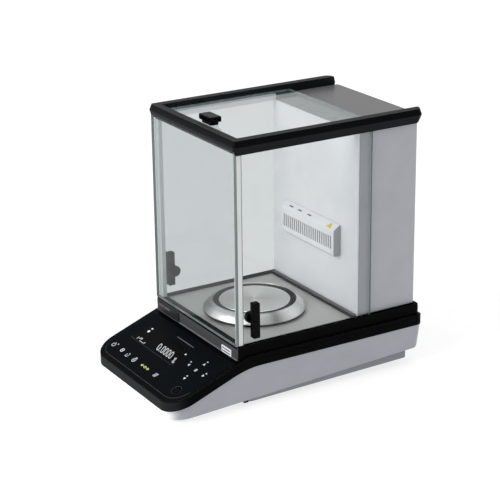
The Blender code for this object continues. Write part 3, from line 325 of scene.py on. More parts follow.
def place(obj, body, slot, *nodes):
    """Hands a finished piece to its body, in place of the nodes it stands for; the slot it is given is
    not used.
    """
    if not obj.data.polygons:
        raise RuntimeError(obj.name + " has no faces")
    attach(obj, body)
    for node in nodes:
        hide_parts(node)
    return obj


def finished(obj, finish, body, slot, *nodes):
    """Dresses a piece in one finish and hands it over."""
    return place(dress(obj, finish), body, slot, *nodes)


# ---- finishes -----------------------------------------------------------------------------
class Socket:
    """A shader output that can be used in sums."""

    def __init__(self, tree, socket):
        self.tree = tree
        self.socket = socket

    def maths(self, operation, *others, clamp=False):
        node = self.tree.node("ShaderNodeMath", {"operation": operation, "use_clamp": clamp})
        for slot, value in zip(node.inputs, (self, *others)):
            self.tree.feed(slot, value)
        return Socket(self.tree, node.outputs[0])

    def __add__(self, other):
        return self.maths("ADD", other)

    __radd__ = __add__

    def __sub__(self, other):
        return self.maths("SUBTRACT", other)

    def __rsub__(self, other):
        return (self * -1) + other

    def __mul__(self, other):
        return self.maths("MULTIPLY", other)

    __rmul__ = __mul__

    def __truediv__(self, other):
        return self.maths("DIVIDE", other)

    def __pow__(self, other):
        return self.maths("POWER", other)

    def step(self, low, high):
        """0 below low, 1 above high, smooth between them."""
        node = self.tree.node("ShaderNodeMapRange", {"interpolation_type": "SMOOTHSTEP"},
                              {"Value": self, "From Min": low, "From Max": high})
        return Socket(self.tree, node.outputs["Result"])


class Finish:
    """A material's node tree."""

    def __init__(self, name):
        self.material = bpy.data.materials.new(name)
        self.material.use_nodes = True
        self.tree = self.material.node_tree
        self.tree.nodes.clear()
        self.output = self.node("ShaderNodeOutputMaterial")
        self.place_node = None

    def feed(self, slot, value):
        if isinstance(value, Socket):
            self.tree.links.new(value.socket, slot)
        elif isinstance(value, bpy.types.NodeSocket):
            self.tree.links.new(value, slot)
        else:
            slot.default_value = value

    def node(self, kind, settings=None, inputs=None):
        """Makes a node: its settings first, then its sockets by name or number."""
        node = self.tree.nodes.new(kind)
        for key, value in (settings or {}).items():
            setattr(node, key, value)
        for key, value in (inputs or {}).items():
            self.feed(node.inputs[key], value)
        return node

    def coordinates(self):
        if self.place_node is None:
            self.place_node = self.node("ShaderNodeTexCoord")
        return self.place_node.outputs["Object"]

    def axis(self, letter):
        node = self.node("ShaderNodeSeparateXYZ", None, {"Vector": self.coordinates()})
        return Socket(self, node.outputs[letter])

    def noise(self, scale, stretch=(1, 1, 1), detail=3.0):
        mapping = self.node("ShaderNodeMapping", None,
                            {"Vector": self.coordinates(), "Scale": stretch})
        node = self.node("ShaderNodeTexNoise", None,
                         {"Vector": mapping.outputs["Vector"], "Scale": scale, "Detail": detail})
        return Socket(self, node.outputs["Fac"])

    def mix(self, factor, first, second):
        node = self.node("ShaderNodeMix", {"data_type": "RGBA"})
        self.feed(node.inputs["Factor"], factor)
        self.feed(node.inputs[6], first)
        self.feed(node.inputs[7], second)
        return Socket(self, node.outputs[2])

    def bump(self, height, strength, distance):
        node = self.node("ShaderNodeBump", None,
                         {"Strength": strength, "Distance": distance, "Height": height})
        return Socket(self, node.outputs["Normal"])

    def surface(self, **values):
        """Ends the tree in a Principled shader."""
        node = self.node("ShaderNodeBsdfPrincipled", None,
                         {key.replace("_", " "): value for key, value in values.items()})
        self.feed(self.output.inputs["Surface"], node.outputs["BSDF"])
        return self.material


def moulded(name, colour, roughness, specular=0.5, grain=0.05, coat=0.0):
    """Moulded plastic or sprayed paint: a fine texture with slightly uneven gloss."""
    finish = Finish(name)
    fine = finish.noise(2600, detail=2.0)
    broad = finish.noise(24, detail=2.0)
    shade = (broad - 0.5) * 0.06 + 1.0
    dark = tuple(c * 0.97 for c in colour[:3]) + (1,)
    light = tuple(min(1, c * 1.03) for c in colour[:3]) + (1,)
    values = {
        "Base_Color": finish.mix((broad - 0.35) * 3.0, dark, light),
        "Roughness": (fine - 0.5) * 0.10 + shade * roughness,
        "Normal": finish.bump(fine, grain, 0.00006),
        "Specular_IOR_Level": specular,
    }
    if coat:
        values["Coat_Weight"] = coat
        values["Coat_Roughness"] = 0.08
    return finish.surface(**values)


def cover_black(name, black, lip):
    """The base cover's satin black, with painted light on the console's front face, which is drawn
    lighter to stand in for the light it catches.
    """
    finish = Finish(name)
    rise, zero = console_slope()
    depth = finish.axis("Y") - GLASS_FACE
    # Painted light: faces below the console's surface, towards the front, take the lighter lip colour.
    below = (depth * rise + zero * MM - finish.axis("Z")).step(0.9 * MM, 1.6 * MM)
    front = (depth * -1).step(66 * MM, 91 * MM)
    fine = finish.noise(2600, detail=2.0)
    return finish.surface(Base_Color=finish.mix(below * front, black + (1,), lip + (1,)),
                          Roughness=(fine - 0.5) * 0.10 + 0.38, Specular_IOR_Level=0.02,
                          Normal=finish.bump(fine, 0.08, 0.00006))


def case_paint(name, paint, nose):
    """The lower case's sprayed paint, drawn paler towards its nose, where the bench lights it."""
    finish = Finish(name)
    front = (GLASS_FACE - finish.axis("Y")).step(74 * MM, 92 * MM)
    fine = finish.noise(2600, detail=2.0)
    broad = finish.noise(24, detail=2.0)
    body = finish.mix((broad - 0.35) * 3.0, tuple(c * 0.97 for c in paint) + (1,),
                      tuple(c * 1.03 for c in paint) + (1,))
    return finish.surface(Base_Color=finish.mix(front, body, nose + (1,)), Specular_IOR_Level=0.4,
                          Roughness=(fine - 0.5) * 0.10 + 0.38, Normal=finish.bump(fine, 0.04, 0.00006),
                          Coat_Weight=0.1, Coat_Roughness=0.08)


def turned_steel(name, centre, low, high, level, fans):
    """Turned steel: the lathe's rings, and the fans of light and shade they gather.

    Each fan is a direction in degrees, a weight and a sharpness.
    """
    finish = Finish(name)
    x = finish.axis("X") - centre.x
    y = finish.axis("Y") - centre.y
    radius = (x * x + y * y) ** 0.5
    angle = y.maths("ARCTAN2", x)
    tone = finish.noise(40, detail=1.0) * 0.06 + (level - 0.03)
    for direction, weight, sharpness in fans:
        lobe = (angle - math.radians(direction)).maths("COSINE") * 0.5 + 0.5
        tone = lobe ** sharpness * weight + tone
    rings = (radius * 9000).maths("SINE") * 0.5 + 0.5
    colour = finish.mix((tone + rings * 0.05).maths("MINIMUM", 1.0), low + (1,), high + (1,))
    return finish.surface(Base_Color=colour, Metallic=1.0, Roughness=rings * 0.06 + 0.30,
                          Normal=finish.bump(rings, 0.10, 0.00004), Anisotropic=0.5)


def brushed(name, colour, roughness, stretch, metallic=1.0):
    """Metal brushed along one axis."""
    finish = Finish(name)
    lines = finish.noise(900, stretch, 4.0)
    broad = finish.noise(18, detail=2.0)
    dark = tuple(c * 0.90 for c in colour) + (1,)
    light = tuple(min(1, c * 1.06) for c in colour) + (1,)
    return finish.surface(Base_Color=finish.mix((lines * 0.6 + broad * 0.4 - 0.3) * 2.5, dark, light),
                          Metallic=metallic, Roughness=(lines - 0.5) * 0.16 + roughness,
                          Normal=finish.bump(lines, 0.10, 0.00005))


def pane(name, tint, deep, gloss):
    """Clear float glass: deeper in tint where it is looked through at a slant."""
    finish = Finish(name)
    facing = finish.node("ShaderNodeLayerWeight", None, {"Blend": 0.5})
    slant = Socket(finish, facing.outputs["Facing"])
    colour = finish.mix(slant.step(0.22, 0.60), tint + (1,), deep + (1,))
    clear = finish.node("ShaderNodeBsdfTransparent", None, {"Color": colour})
    smear = finish.noise(9, detail=2.0)
    shine = finish.node("ShaderNodeBsdfPrincipled", None,
                        {"Base Color": (0.9, 0.95, 0.94, 1), "Metallic": 1.0,
                         "Roughness": smear * 0.02 + 0.005})
    share = (slant ** 5 * 0.96 + 0.04) * gloss
    both = finish.node("ShaderNodeMixShader", None,
                       {0: share, 1: clear.outputs[0], 2: shine.outputs[0]})
    finish.feed(finish.output.inputs["Surface"], both.outputs[0])
    return finish.material


def glass_edge(name, deep, pale):
    """The polished edge of a pane, where the glass is seen through its whole width."""
    finish = Finish(name)
    streak = finish.noise(120, (1, 1, 0.05), 2.0)
    return finish.surface(Base_Color=finish.mix((streak - 0.3) * 2.0, deep + (1,), pale + (1,)),
                          Roughness=streak * 0.05 + 0.08, Specular_IOR_Level=0.6)


def make_finishes():
    """Every material, by name."""
    pan = (BOX["weighing_pan"][0] + BOX["weighing_pan"][1]) / 2
    made = {
        "black": moulded("black_satin", (0.0010, 0.0010, 0.0012), 0.40, 0.02, 0.08),
        "cover_black": cover_black("cover_black", (0.0012, 0.0013, 0.0015), (0.014, 0.015, 0.016)),
        # Painted highlight: a lighter grey laid on the bevels of black parts, standing in for the
        # highlights along their edges; its gloss is real.
        "line": moulded("painted_edge_highlight", (0.070, 0.073, 0.078), 0.22, 0.6, 0.0, 0.3),
        "black_gloss": moulded("black_semi_gloss", (0.0012, 0.0012, 0.0015), 0.26, 0.05, 0.03),
        "frame_black": moulded("frame_black", (0.0020, 0.0024, 0.0028), 0.30, 0.03, 0.05),
        # Painted light: a lighter copy of the frame's black, for the facets below its crease.
        "frame_low": moulded("frame_lower_painted_light", (0.0060, 0.0078, 0.0090), 0.30, 0.05, 0.04),
        "film": moulded("touch_film", (0.0012, 0.0024, 0.0038), 0.36, 0.015, 0.02),
        "screen": moulded("display_glass", (0.0002, 0.0002, 0.0003), 0.35, 0.0, 0.0),
        "case": case_paint("case_paint", (0.305, 0.314, 0.348), (0.95, 0.955, 0.965)),
        "plinth": moulded("plinth_plastic", (0.20, 0.205, 0.23), 0.55, 0.4, 0.08),
        "band": moulded("band_plastic", (0.038, 0.040, 0.043), 0.45, 0.35, 0.05),
        "band_dark": moulded("band_label", (0.013, 0.014, 0.016), 0.30, 0.08, 0.02),
        "silver": moulded("housing_paint", (0.335, 0.342, 0.374), 0.40, 0.5, 0.04, 0.1),
        "white": moulded("white_plastic", (0.79, 0.795, 0.83), 0.45, 0.5, 0.0),
        "end_grey": moulded("shaded_end", (0.34, 0.345, 0.36), 0.5, 0.3, 0.0),
        "post": moulded("post_white", (0.60, 0.62, 0.615), 0.35, 0.5, 0.03),
        "cover": moulded("cover_grey", (0.10, 0.10, 0.105), 0.36, 0.5, 0.06),
        "rubber": moulded("rubber", (0.020, 0.020, 0.022), 0.75, 0.3, 0.15),
        "seal": moulded("seal", (0.10, 0.10, 0.105), 0.6, 0.4, 0.05),
        "board": moulded("circuit_board", (0.02, 0.16, 0.06), 0.45, 0.5, 0.02),
        "icon": moulded("icon_print", (0.62, 0.66, 0.68), 0.4, 0.5, 0.0),
        "icon_green": moulded("icon_green", (0.50, 0.56, 0.16), 0.4, 0.5, 0.0),
        "caution": moulded("yellow_print", (0.80, 0.55, 0.04), 0.4, 0.5, 0.0),
        "slot_dark": moulded("slot_shadow", (0.035, 0.035, 0.038), 0.7, 0.1, 0.0),
        "grey_print": moulded("grey_print", (0.09, 0.092, 0.10), 0.5, 0.3, 0.0),
        "fluid": moulded("level_fluid", (0.0006, 0.0008, 0.0005), 0.10, 0.15, 0.0),
        "floor_steel": brushed("floor_steel", (0.54, 0.535, 0.515), 0.42, (1, 0.02, 1), 0.45),
        "steel": brushed("plain_steel", (0.55, 0.55, 0.54), 0.32, (1, 1, 0.05)),
        "aluminium": brushed("aluminium", (0.6, 0.6, 0.6), 0.38, (0.05, 1, 1)),
        "brass": brushed("brass", (0.60, 0.45, 0.20), 0.32, (1, 1, 0.05)),
        "pan": turned_steel("pan_steel", pan, (0.30, 0.30, 0.285), (0.97, 0.97, 0.945), 0.74,
                            [(-31, 0.25, 30), (150, 0.30, 20), (60, -0.18, 12), (-121, -0.15, 12)]),
        "ring": turned_steel("ring_steel", pan, (0.030, 0.030, 0.029), (0.98, 0.98, 0.96), 0.54,
                             [(-74, 0.85, 60), (-121, -0.28, 40), (-6, -0.30, 260), (18, 0.42, 60),
                              (150, 0.35, 10), (95, -0.20, 30), (-40, 0.22, 60), (58, 0.2, 60)]),
        "glass": pane("clear_glass", (0.930, 0.938, 0.938), (0.845, 0.860, 0.862), 0.55),
        # Painted shade: a darker copy of the clear glass, for the left door.
        "glass_shaded": pane("shaded_glass", (0.820, 0.832, 0.834), (0.80, 0.815, 0.815), 0.55),
        "glass_top": pane("top_glass", (0.975, 0.980, 0.979), (0.955, 0.962, 0.960), 1.0),
        "edge": glass_edge("glass_edge", (0.11, 0.15, 0.145), (0.22, 0.27, 0.26)),
    }
    light = Finish("display_light")
    glow = light.mix(light.noise(400) * 0.2, (0.92, 0.97, 1, 1), (0.8, 0.9, 1, 1))
    made["light"] = light.surface(Base_Color=(0.05, 0.05, 0.05, 1), Roughness=0.4,
                                  Emission_Color=glow, Emission_Strength=0.85)
    made["paper"] = moulded("studio_paper", (0.36, 0.36, 0.36), 0.8, 0.0, 0.0)
    shader = made["paper"].node_tree.nodes["Principled BSDF"]
    shader.inputs["Emission Color"].default_value = (1, 1, 1, 1)
    shader.inputs["Emission Strength"].default_value = 0.72
    return made


FINISH = {}
SLOT_FINISH = {
    "black_plastic": "black", "touch_film": "film", "grey_paint": "case",
    "dark_grey_plastic": "plinth", "silver_paint": "silver", "white_plastic": "white",
    "brushed_steel": "steel", "clear_glass": "glass", "display_glass": "screen",
    "aluminium": "aluminium", "brass": "brass", "circuit_board": "board", "rubber": "rubber",
}


# ---- the console's slope ------------------------------------------------------------------
def console_slope():
    """Tilt of the console, and the height of its surface in the plane of the front glass."""
    panel = span("touch_panel")
    rear, top = panel[3], panel[5]
    rise = math.tan(bpy.context.scene.balance_console.tilt)
    return rise, top - rear * rise - PRINT


def console_z(y):
    rise, zero = console_slope()
    return zero + y * rise


def onto_console(obj, lift=0.0):
    """Lays an object drawn flat (x across, y up the slope from the glass's foot) on the console."""
    tilt = bpy.context.scene.balance_console.tilt
    zero = console_slope()[1]
    normal = Vector((0, -math.sin(tilt), math.cos(tilt)))
    obj.matrix_world = (Matrix.Translation(at(0, 0, zero) + normal * lift * MM)
                        @ Matrix.Rotation(tilt, 4, "X") @ obj.matrix_world)
    only(obj)
    return freeze(obj)


def flat_prism(name, outline, z0, z1):
    """A prism about the world's origin, to be laid on the console later."""
    return prism(name, [Vector((p.x * MM, p.y * MM, z0 * MM)) for p in outline],
                 (0, 0, (z1 - z0) * MM))


def circle(x, y, radius, count=48):
    return [Vector((x + radius * math.cos(a), y + radius * math.sin(a)))
            for a in (math.tau * k / count for k in range(count))]


def flat_bar(x0, y0, x1, y1, width, thick=PRINT):
    """A thin printed stroke from one point to another, with square ends."""
    a, b = Vector((x0, y0)), Vector((x1, y1))
    side = Vector((-(b - a).y, (b - a).x)).normalized() * width / 2
    return flat_prism("stroke", [a - side, b - side, b + side, a + side], 0, thick)


def flat_ring(x, y, radius, width, start=0.0, end=360.0, steps=20, thick=PRINT):
    """A printed arc."""
    angles = [math.radians(start + (end - start) * k / steps) for k in range(steps + 1)]
    outer = [Vector((x + radius * math.cos(a), y + radius * math.sin(a))) for a in angles]
    inner = [Vector((x + (radius - width) * math.cos(a), y + (radius - width) * math.sin(a)))
             for a in reversed(angles)]
    if end - start >= 360:
        disc = flat_prism("arc", outer[:-1], 0, thick)
        return cut(disc, flat_prism("hole", inner[1:], -1, 1))
    return flat_prism("arc", outer + inner, 0, thick)


def flat_text(name, body, size, x, y, slant=0.0, narrow=1.0, thinner=0.0):
    """Characters laid flat and turned into a mesh."""
    clear_selection()
    bpy.ops.object.text_add(location=(0, 0, 0))
    obj = bpy.context.object
    obj.data.body = body
    obj.data.size = size * MM
    obj.data.shear = slant
    obj.data.extrude = 0.06 * MM
    obj.data.offset = -thinner * MM
    obj.data.align_x = "CENTER"
    obj.data.align_y = "CENTER"
    bpy.ops.object.convert(target="MESH")
    obj = named(name)
    obj.matrix_world = (Matrix.Translation((x * MM, y * MM, 0.06 * MM))
                        @ Matrix.Diagonal((narrow, 1.0, 1.0, 1.0)))
    return freeze(obj)


# ---- settings -----------------------------------------------------------------------------
def length(name, description, default):
    return bpy.props.FloatProperty(name=name, description=description, default=default * MM,
                                   min=0.0, unit="LENGTH", subtype="DISTANCE")


class BalanceBase(bpy.types.PropertyGroup):
    edge: length("Edge", "Rounding of the black cover's edges", 1.0)
    case_edge: length("Case edge", "Rounding of the grey case's lower edges", 1.6)
    front_corner: length("Front corner", "Radius of the console's corners", 30.0)
    rear_corner: length("Rear corner", "Radius of the rear corners", 10.0)
    lip: length("Lip", "Height of the console's front edge", 13.0)
    ridge_drop: length("Ridge drop", "Ridge below the deck", 14.0)
    taper: bpy.props.FloatProperty(name="Taper", description="Draw of the grey case's sides",
                                   default=0.155, min=0.0, max=0.5)


class BalanceConsole(bpy.types.PropertyGroup):
    tilt: bpy.props.FloatProperty(name="Tilt", description="Slope of the console",
                                  default=math.radians(20.6), unit="ROTATION", subtype="ANGLE")
    reading: bpy.props.StringProperty(name="Reading", description="Figures on the display",
                                      default="0.0000")
    figures: length("Figures", "Height of the figures' line", 17.0)


class BalanceShield(bpy.types.PropertyGroup):
    pane_edge: length("Pane edge", "Ground edge of the panes", 0.25)
    frame_edge: length("Frame edge", "Rounding of the top frame", 0.9)
    crease: length("Crease", "Widest line of the frame below its top", 7.5)
    grip_edge: length("Grip edge", "Rounding of the handles", 1.6)


class BalanceChamber(bpy.types.PropertyGroup):
    slots: bpy.props.IntProperty(name="Slots", description="Slots in the ionizer's front",
                                 default=23, min=1)
    steps: bpy.props.IntProperty(name="Steps", description="Facets round the pan and the ring",
                                 default=128, min=24)


class BalanceStudio(bpy.types.PropertyGroup):
    lens: bpy.props.FloatProperty(name="Lens", description="Focal length on a 36 mm sensor",
                                  default=119.61)
    distance: bpy.props.FloatProperty(name="Distance", description="Camera to the object",
                                      default=2.1098, unit="LENGTH", subtype="DISTANCE")
    turn: bpy.props.FloatProperty(name="Turn", description="Direction the camera stands in",
                                  default=math.radians(59.107), unit="ROTATION", subtype="ANGLE")
    height: bpy.props.FloatProperty(name="Height", description="Angle above the bench",
                                    default=math.radians(19.776), unit="ROTATION", subtype="ANGLE")
    sky: bpy.props.FloatProperty(name="Surround", description="Strength of the white surround",
                                 default=0.76, min=0.0)
    key: bpy.props.FloatProperty(name="Key", description="Power of the large lamp at the front",
                                 default=50.0, min=0.0)


# ---- base ---------------------------------------------------------------------------------
def seam_line(y):
    """Height of the joint between the grey case and the black cover at depth y."""
    base = bpy.context.scene.balance_base
    front, rear = SEAM_BEND
    level = DECK / MM - 2 * base.ridge_drop / MM
    if y >= rear:
        return level
    if y <= front:
        return console_z(y) - base.lip / MM
    bend = rear - front
    t = (y - front) / bend
    start, rise = console_z(front) - base.lip / MM, console_slope()[0]
    return (start * (2 * t ** 3 - 3 * t ** 2 + 1) + rise * bend * (t ** 3 - 2 * t ** 2 + t)
            + level * (3 * t ** 2 - 2 * t ** 3))


def seam_points(y0, y1):
    """Points along that joint from y0 to y1."""
    front, rear = SEAM_BEND
    steps = 14
    depths = [y0] + [front + (rear - front) * k / steps for k in range(steps + 1)] + [y1]
    return [Vector((y, seam_line(y))) for y in depths]


def rear_shoulder(y, z, radius=4):
    """The rounding of an upper rear corner in side view, a hair past the face at depth y."""
    angles = [math.radians(15 * k) for k in range(7)]
    return [Vector((y - radius + (radius + 0.05) * math.cos(a), z - radius + radius * math.sin(a)))
            for a in angles]


class BALANCE_OT_base(bpy.types.Operator):
    """Builds the black base cover and the grey case under it"""
    bl_idname = "balance.base"
    bl_label = "Base"

    def execute(self, context):
        base = context.scene.balance_base
        x0, x1, y0, y1, _, z1 = span("base_cover")
        ridge = z1 - base.ridge_drop / MM
        front, rear = base.front_corner / MM, base.rear_corner / MM
        rise, zero = console_slope()
        plan = rectangle(x0, x1, y0, y1, (front, front, rear, rear), 14)

        seam = seam_points(y0 - 4, y1 + 4)
        top = rear_shoulder(y1, ridge)
        top += [Vector(((ridge - zero) / rise, ridge)), Vector((y0 - 4, console_z(y0 - 4)))]
        cover = plan_prism("base_cover_surface", plan, 0, z1)
        combine(cover, side_prism("side", seam + top, x0 - 5, x1 + 5), "INTERSECT")
        depth, low, high = 0.7, ridge - 6.4, ridge - 5.5
        groove = [block("groove", side * (x1 - depth), side * (x1 + 9), 22, y1 + 9, low, high)
                  for side in (-1, 1)]
        groove.append(block("groove", x0 - 9, x1 + 9, y1 - depth, y1 + 9, low, high))
        cut(cover, *groove)
        soften(cover, base.edge / MM, 3, 40)

        band_rear = span("front_band")[3] + 0.3
        end = y1 - BLOCK_INSET
        upper = plan_prism("block", rectangle(x0 + BLOCK_INSET, x1 - BLOCK_INSET, band_rear, end,
                                              (1.5, 1.5, 7, 7)), ridge - 8, z1)
        brow = rear_shoulder(end, z1)
        brow += [Vector((band_rear - 9, z1)), Vector((band_rear - 9, ridge - 9)),
                 Vector((end + 0.05, ridge - 9))]
        combine(upper, side_prism("brow", brow, x0 - 5, x1 + 5), "INTERSECT")
        door = span("door_glass_right")
        floor = span("floor_plate")
        well = plan_prism("well", rectangle(floor[0] - 0.8, floor[1] + 0.8, floor[2] - 0.8,
                                            floor[3] + 0.8, (2, 2, 2, 2)), z1 - 4.4, z1 + 9)
        tracks = [plan_prism("track", rectangle(*across(side, door[0] - 0.5, door[1] + 0.5),
                                                4.6, y1 + 9, (0.5,) * 4, 2), z1 - 4, z1 + 9)
                  for side in (-1, 1)]
        soften(cut(upper, well, *tracks), 0.5, 2, 40)
        shell = join("base_cover_surface", [cover, upper])
        # Painted highlight: the cover's sloping bevels, except those at the rear, take the lighter edge
        # grey.
        dress(shell, "cover_black", "line")
        second_finish(shell, lambda c, n: 0.45 < n.z < 0.92 and c.y < (y1 - 2) * MM + GLASS_FACE)
        place(shell, "root", "black_plastic", "base_cover")

        self.case(base)
        plinth = span("bottom_plate")
        half, front_end, beyond = 96.5, 18, plinth[3] + 9
        outline = rectangle(-half, half, front_end, plinth[3], (6, 6, 6, 6))
        foot = plan_prism("bottom_plate_surface", outline, 0, plinth[5])
        under, over = (5.4, 10.2), (9.6, 23.3)
        profile = [Vector(p) for p in ((0, under[0]), (beyond, under[1]),
                                       (beyond, over[1]), (0, over[0]))]
        soften(combine(foot, side_prism("side", profile, x0 - 14, x1 + 14), "INTERSECT"), 0.8)
        # Two small dark blocks at the plinth's front ends.
        dark_end = [soften(block("dark_end", *across(side, 84, 96), front_end - 5, front_end + 1, 5.6,
                            9.4), 0.4, 2) for side in (-1, 1)]
        dark_ends = join("plinth_dark_ends", dark_end)
        finished(dark_ends, "rubber", "root", "rubber")
        finished(foot, "plinth", "root", "dark_grey_plastic", "bottom_plate")
        return {"FINISHED"}

    def case(self, base):
        """The grey lower case, tapered down from the seam."""
        x0, x1, y0, y1, _, z1 = span("lower_case")
        front, rear = base.front_corner / MM, base.rear_corner / MM
        plan = rectangle(x0, x1, y0, y1, (front, front, rear, rear), 14)
        body = plan_prism("lower_case_surface", plan, z1 + 2, 0)
        pick_faces(body, lambda centre, normal: centre.z < 0.0005)
        share = 1 - base.taper * (z1 + 2) / x1
        middle = at(0, (y0 + y1) / 2, 0)
        bpy.ops.transform.resize(value=(share, 0.992, 1), center_override=middle)
        settle()
        tail = rounded([(y1 + 0.2, z1 + 3, 0), (y1 + 0.2, 22.6, 11.0), (y0 - 0.3, 4.2, 12.5),
                        (y0 - 0.3, seam_line(y0) - 0.3, 0)], 12)
        seam = [p - Vector((0, 0.35)) for p in seam_points(y0, y1 + 2)]
        outline = tail[1:-1] + seam
        combine(body, side_prism("side", outline, x0 - 5, x1 + 5), "INTERSECT")
        plate = span("port_plate")
        cut(body, block("recess", plate[0] - 0.3, plate[1] + 0.3, plate[2] - 0.3, y1 + 9,
                        plate[4] - 0.3, plate[5] + 0.3))
        soften(body, base.case_edge / MM, 4, 40)
        finished(body, "case", "root", "grey_paint", "lower_case")


# ---- console ------------------------------------------------------------------------------
def arrow(x, y, dx, dy, size=2.4):
    """A small printed triangle that points along (dx, dy)."""
    way = Vector((dx, dy)).normalized()
    side = Vector((-way.y, way.x))
    tip = Vector((x, y)) + way * size * 0.6
    base = Vector((x, y)) - way * size * 0.5
    return flat_prism("arrow", [tip, base + side * size * 0.62, base - side * size * 0.62], 0, PRINT)


class BALANCE_OT_console(bpy.types.Operator):
    """Builds the touch film, the display, the printed marks and the level"""
    bl_idname = "balance.console"
    bl_label = "Console"

    def execute(self, context):
        console = context.scene.balance_console
        cos = math.cos(console.tilt)
        x0, x1, y0, y1 = span("touch_panel")[:4]
        window = span("display_window")
        low, high = y0 / cos, y1 / cos
        w0, w1 = window[2] / cos + 0.4, window[3] / cos - 0.2
        film = flat_prism("touch_panel_surface", rectangle(x0, x1, low, high, (23, 23, 4, 4), 12),
                          -0.75, PRINT)
        hole = rectangle(window[0] - 0.3, window[1] + 0.3, w0 - 0.3, w1 + 0.3, (2, 2, 2, 2), 6)
        lens = span("level_lens")
        lx, ly = (lens[0] + lens[1]) / 2, (lens[2] + lens[3]) / 2 / cos
        radius = (lens[1] - lens[0]) / 2
        cut(film, flat_prism("window_hole", hole, -3, 3),
            flat_prism("level_hole", circle(lx, ly, radius + 0.3), -3, 3))
        soften(film, 0.3, 2, 40)
        # Painted highlight: the bevels along the film's front take the lighter edge grey.
        dress(film, "film", "line")
        second_finish(film, lambda c, n: 0.2 < n.z < 0.98 and c.y < low * 0.5 * MM)
        onto_console(film)
        place(film, "root", "touch_film", "touch_panel")

        screen = flat_prism("display_window_surface",
                            rectangle(window[0], window[1], w0, w1, (1.8,) * 4, 6), -1.5, -PRINT)
        soften(screen, 0.2, 2)
        finished(onto_console(screen), "screen", "root", "display_glass", "display_window")

        self.readout(console, window, w0, w1)
        self.keys()
        self.level(lx, ly, radius)
        return {"FINISHED"}

    def readout(self, console, window, w0, w1):
        size, lean = console.figures / MM, -0.60
        figures = flat_text("readout", console.reading, size, -4.6, -42.4, lean, 0.81, 0.22)
        unit = flat_text("readout_unit", "g", size * 0.74, 22.4, -43.0, lean, 0.95, 0.12)
        x = window[0] + 10
        small = [flat_ring(x + 2, w1 - 9, 2.1, 2.0), flat_bar(x, w1 - 3.2, x + 3.2, w1 - 3.2, 2.2),
                 flat_bar(x + 1, w0 + 1.8, x + 1, w0 + 5.8, 0.9),
                 flat_bar(x + 3.6, w0 + 3.6, x + 6.6, w0 + 6.6, 0.8),
                 flat_bar(x + 8, w0 + 1.6, x + 20, w0 + 1.6, 0.5),
                 flat_bar(x + 20, w0 + 1.6, x + 20, w0 + 4.2, 0.9),
                 flat_ring(x + 8, w0 + 5.4, 1.6, 0.6),
                 flat_bar(window[1] - 5.6, w1 - 6.2, window[1] - 3.2, w1 - 6.2, 2.2)]
        shown = join("readout", [figures, unit] + small)
        finished(onto_console(shown, -0.10), "light", "root", "display_glass")

    def keys(self):
        """The row of touch keys and the cluster of arrows: plain signs, no words."""
        row = -76.0
        marks = [flat_ring(-86, row, 3.4, 0.8, 120, 420), flat_bar(-86, row + 0.6, -86, row + 4.4, 0.8),
                 flat_bar(-81.4, row + 4.0, -79.6, row + 4.0, 1.6)]
        marks += [flat_ring(-63.5, row + 0.6, 3.2, 1.1),
                  flat_bar(-66.6, row + 0.6, -60.4, row + 0.6, 0.9)]
        for a, b in (((-49.6, -3), (-45.2, -3)), ((-45.2, -3), (-45.2, 3.2)),
                     ((-45.2, 3.2), (-47.4, 3.2)), ((-49.6, -3), (-49.6, 1.6))):
            marks.append(flat_bar(a[0], row - 0.4 + a[1], b[0], row - 0.4 + b[1], 0.8))
        marks += [flat_ring(-29.0, row - 1.0, 3.4, 0.9),
                  flat_bar(-30.6, row + 3.4, -26.4, row + 3.4, 0.9),
                  flat_bar(-30.2, row - 1.0, -27.8, row - 1.0, 1.6)]
        marks += [flat_bar(23.6 + 2.2 * k, row - 3.4, 25.0 + 2.2 * k, row + 3.0, 0.8) for k in range(3)]
        for x, y, dx, dy in ((47.6, -38.6, -1, 0), (85.0, -40.0, 1, 0), (66.0, -26.2, 0, 1),
                             (67.4, -57.4, 0, -1)):
            marks.append(arrow(x, y, dx, dy, 3.4))
        for x, y in ((45.4, -33.8), (85.2, -35.2), (66.0, -21.4), (66.4, -52.4)):
            marks.append(flat_bar(x - 1.2, y, x + 1.2, y, 1.5))
        marks += [flat_bar(66.2 - 2.0, -39.4 + k, 66.2 + 2.0, -39.4 + k, 0.9) for k in (-1.5, 0, 1.5)]
        print_white = join("console_marks", marks)
        finished(onto_console(print_white, PRINT), "icon", "root", "touch_film")

        rule = onto_console(flat_bar(-20, -15.6, 21.5, -15.6, 1.1, 0.08), PRINT)
        rule.name = "console_rule"
        finished(rule, "grey_print", "root", "touch_film")

        green = [arrow(-9.6, row, -1, 0, 3.6), arrow(6.6, row, 1, 0, 3.6),
                 flat_bar(-7.4, row, 4.6, row, 0.9), flat_ring(-1.2, row, 2.2, 0.8)]
        print_green = join("console_marks_green", green)
        finished(onto_console(print_green, PRINT), "icon_green", "root", "touch_film")

    def level(self, x, y, radius):
        """The bubble level: a dark bezel, the fluid under its lens and a thin ring mark."""
        bezel = flat_ring(x, y, radius, 1.3, 0, 360, 48, 0.6)
        onto_console(soften(bezel, 0.15, 2), -0.55)
        finished(bezel, "screen", "root", "black_plastic")
        lens = soften(flat_prism("level_lens_surface", circle(x, y, radius - 1.4), -1.6, -0.5), 0.3, 3)
        finished(onto_console(lens), "fluid", "root", "clear_glass", "level_lens")
        mark = onto_console(flat_ring(x, y, 2.2, 0.25, 0, 360, 32, 0.06), -0.5)
        mark.name = "level_mark"
        finished(mark, "film", "root", "black_plastic")


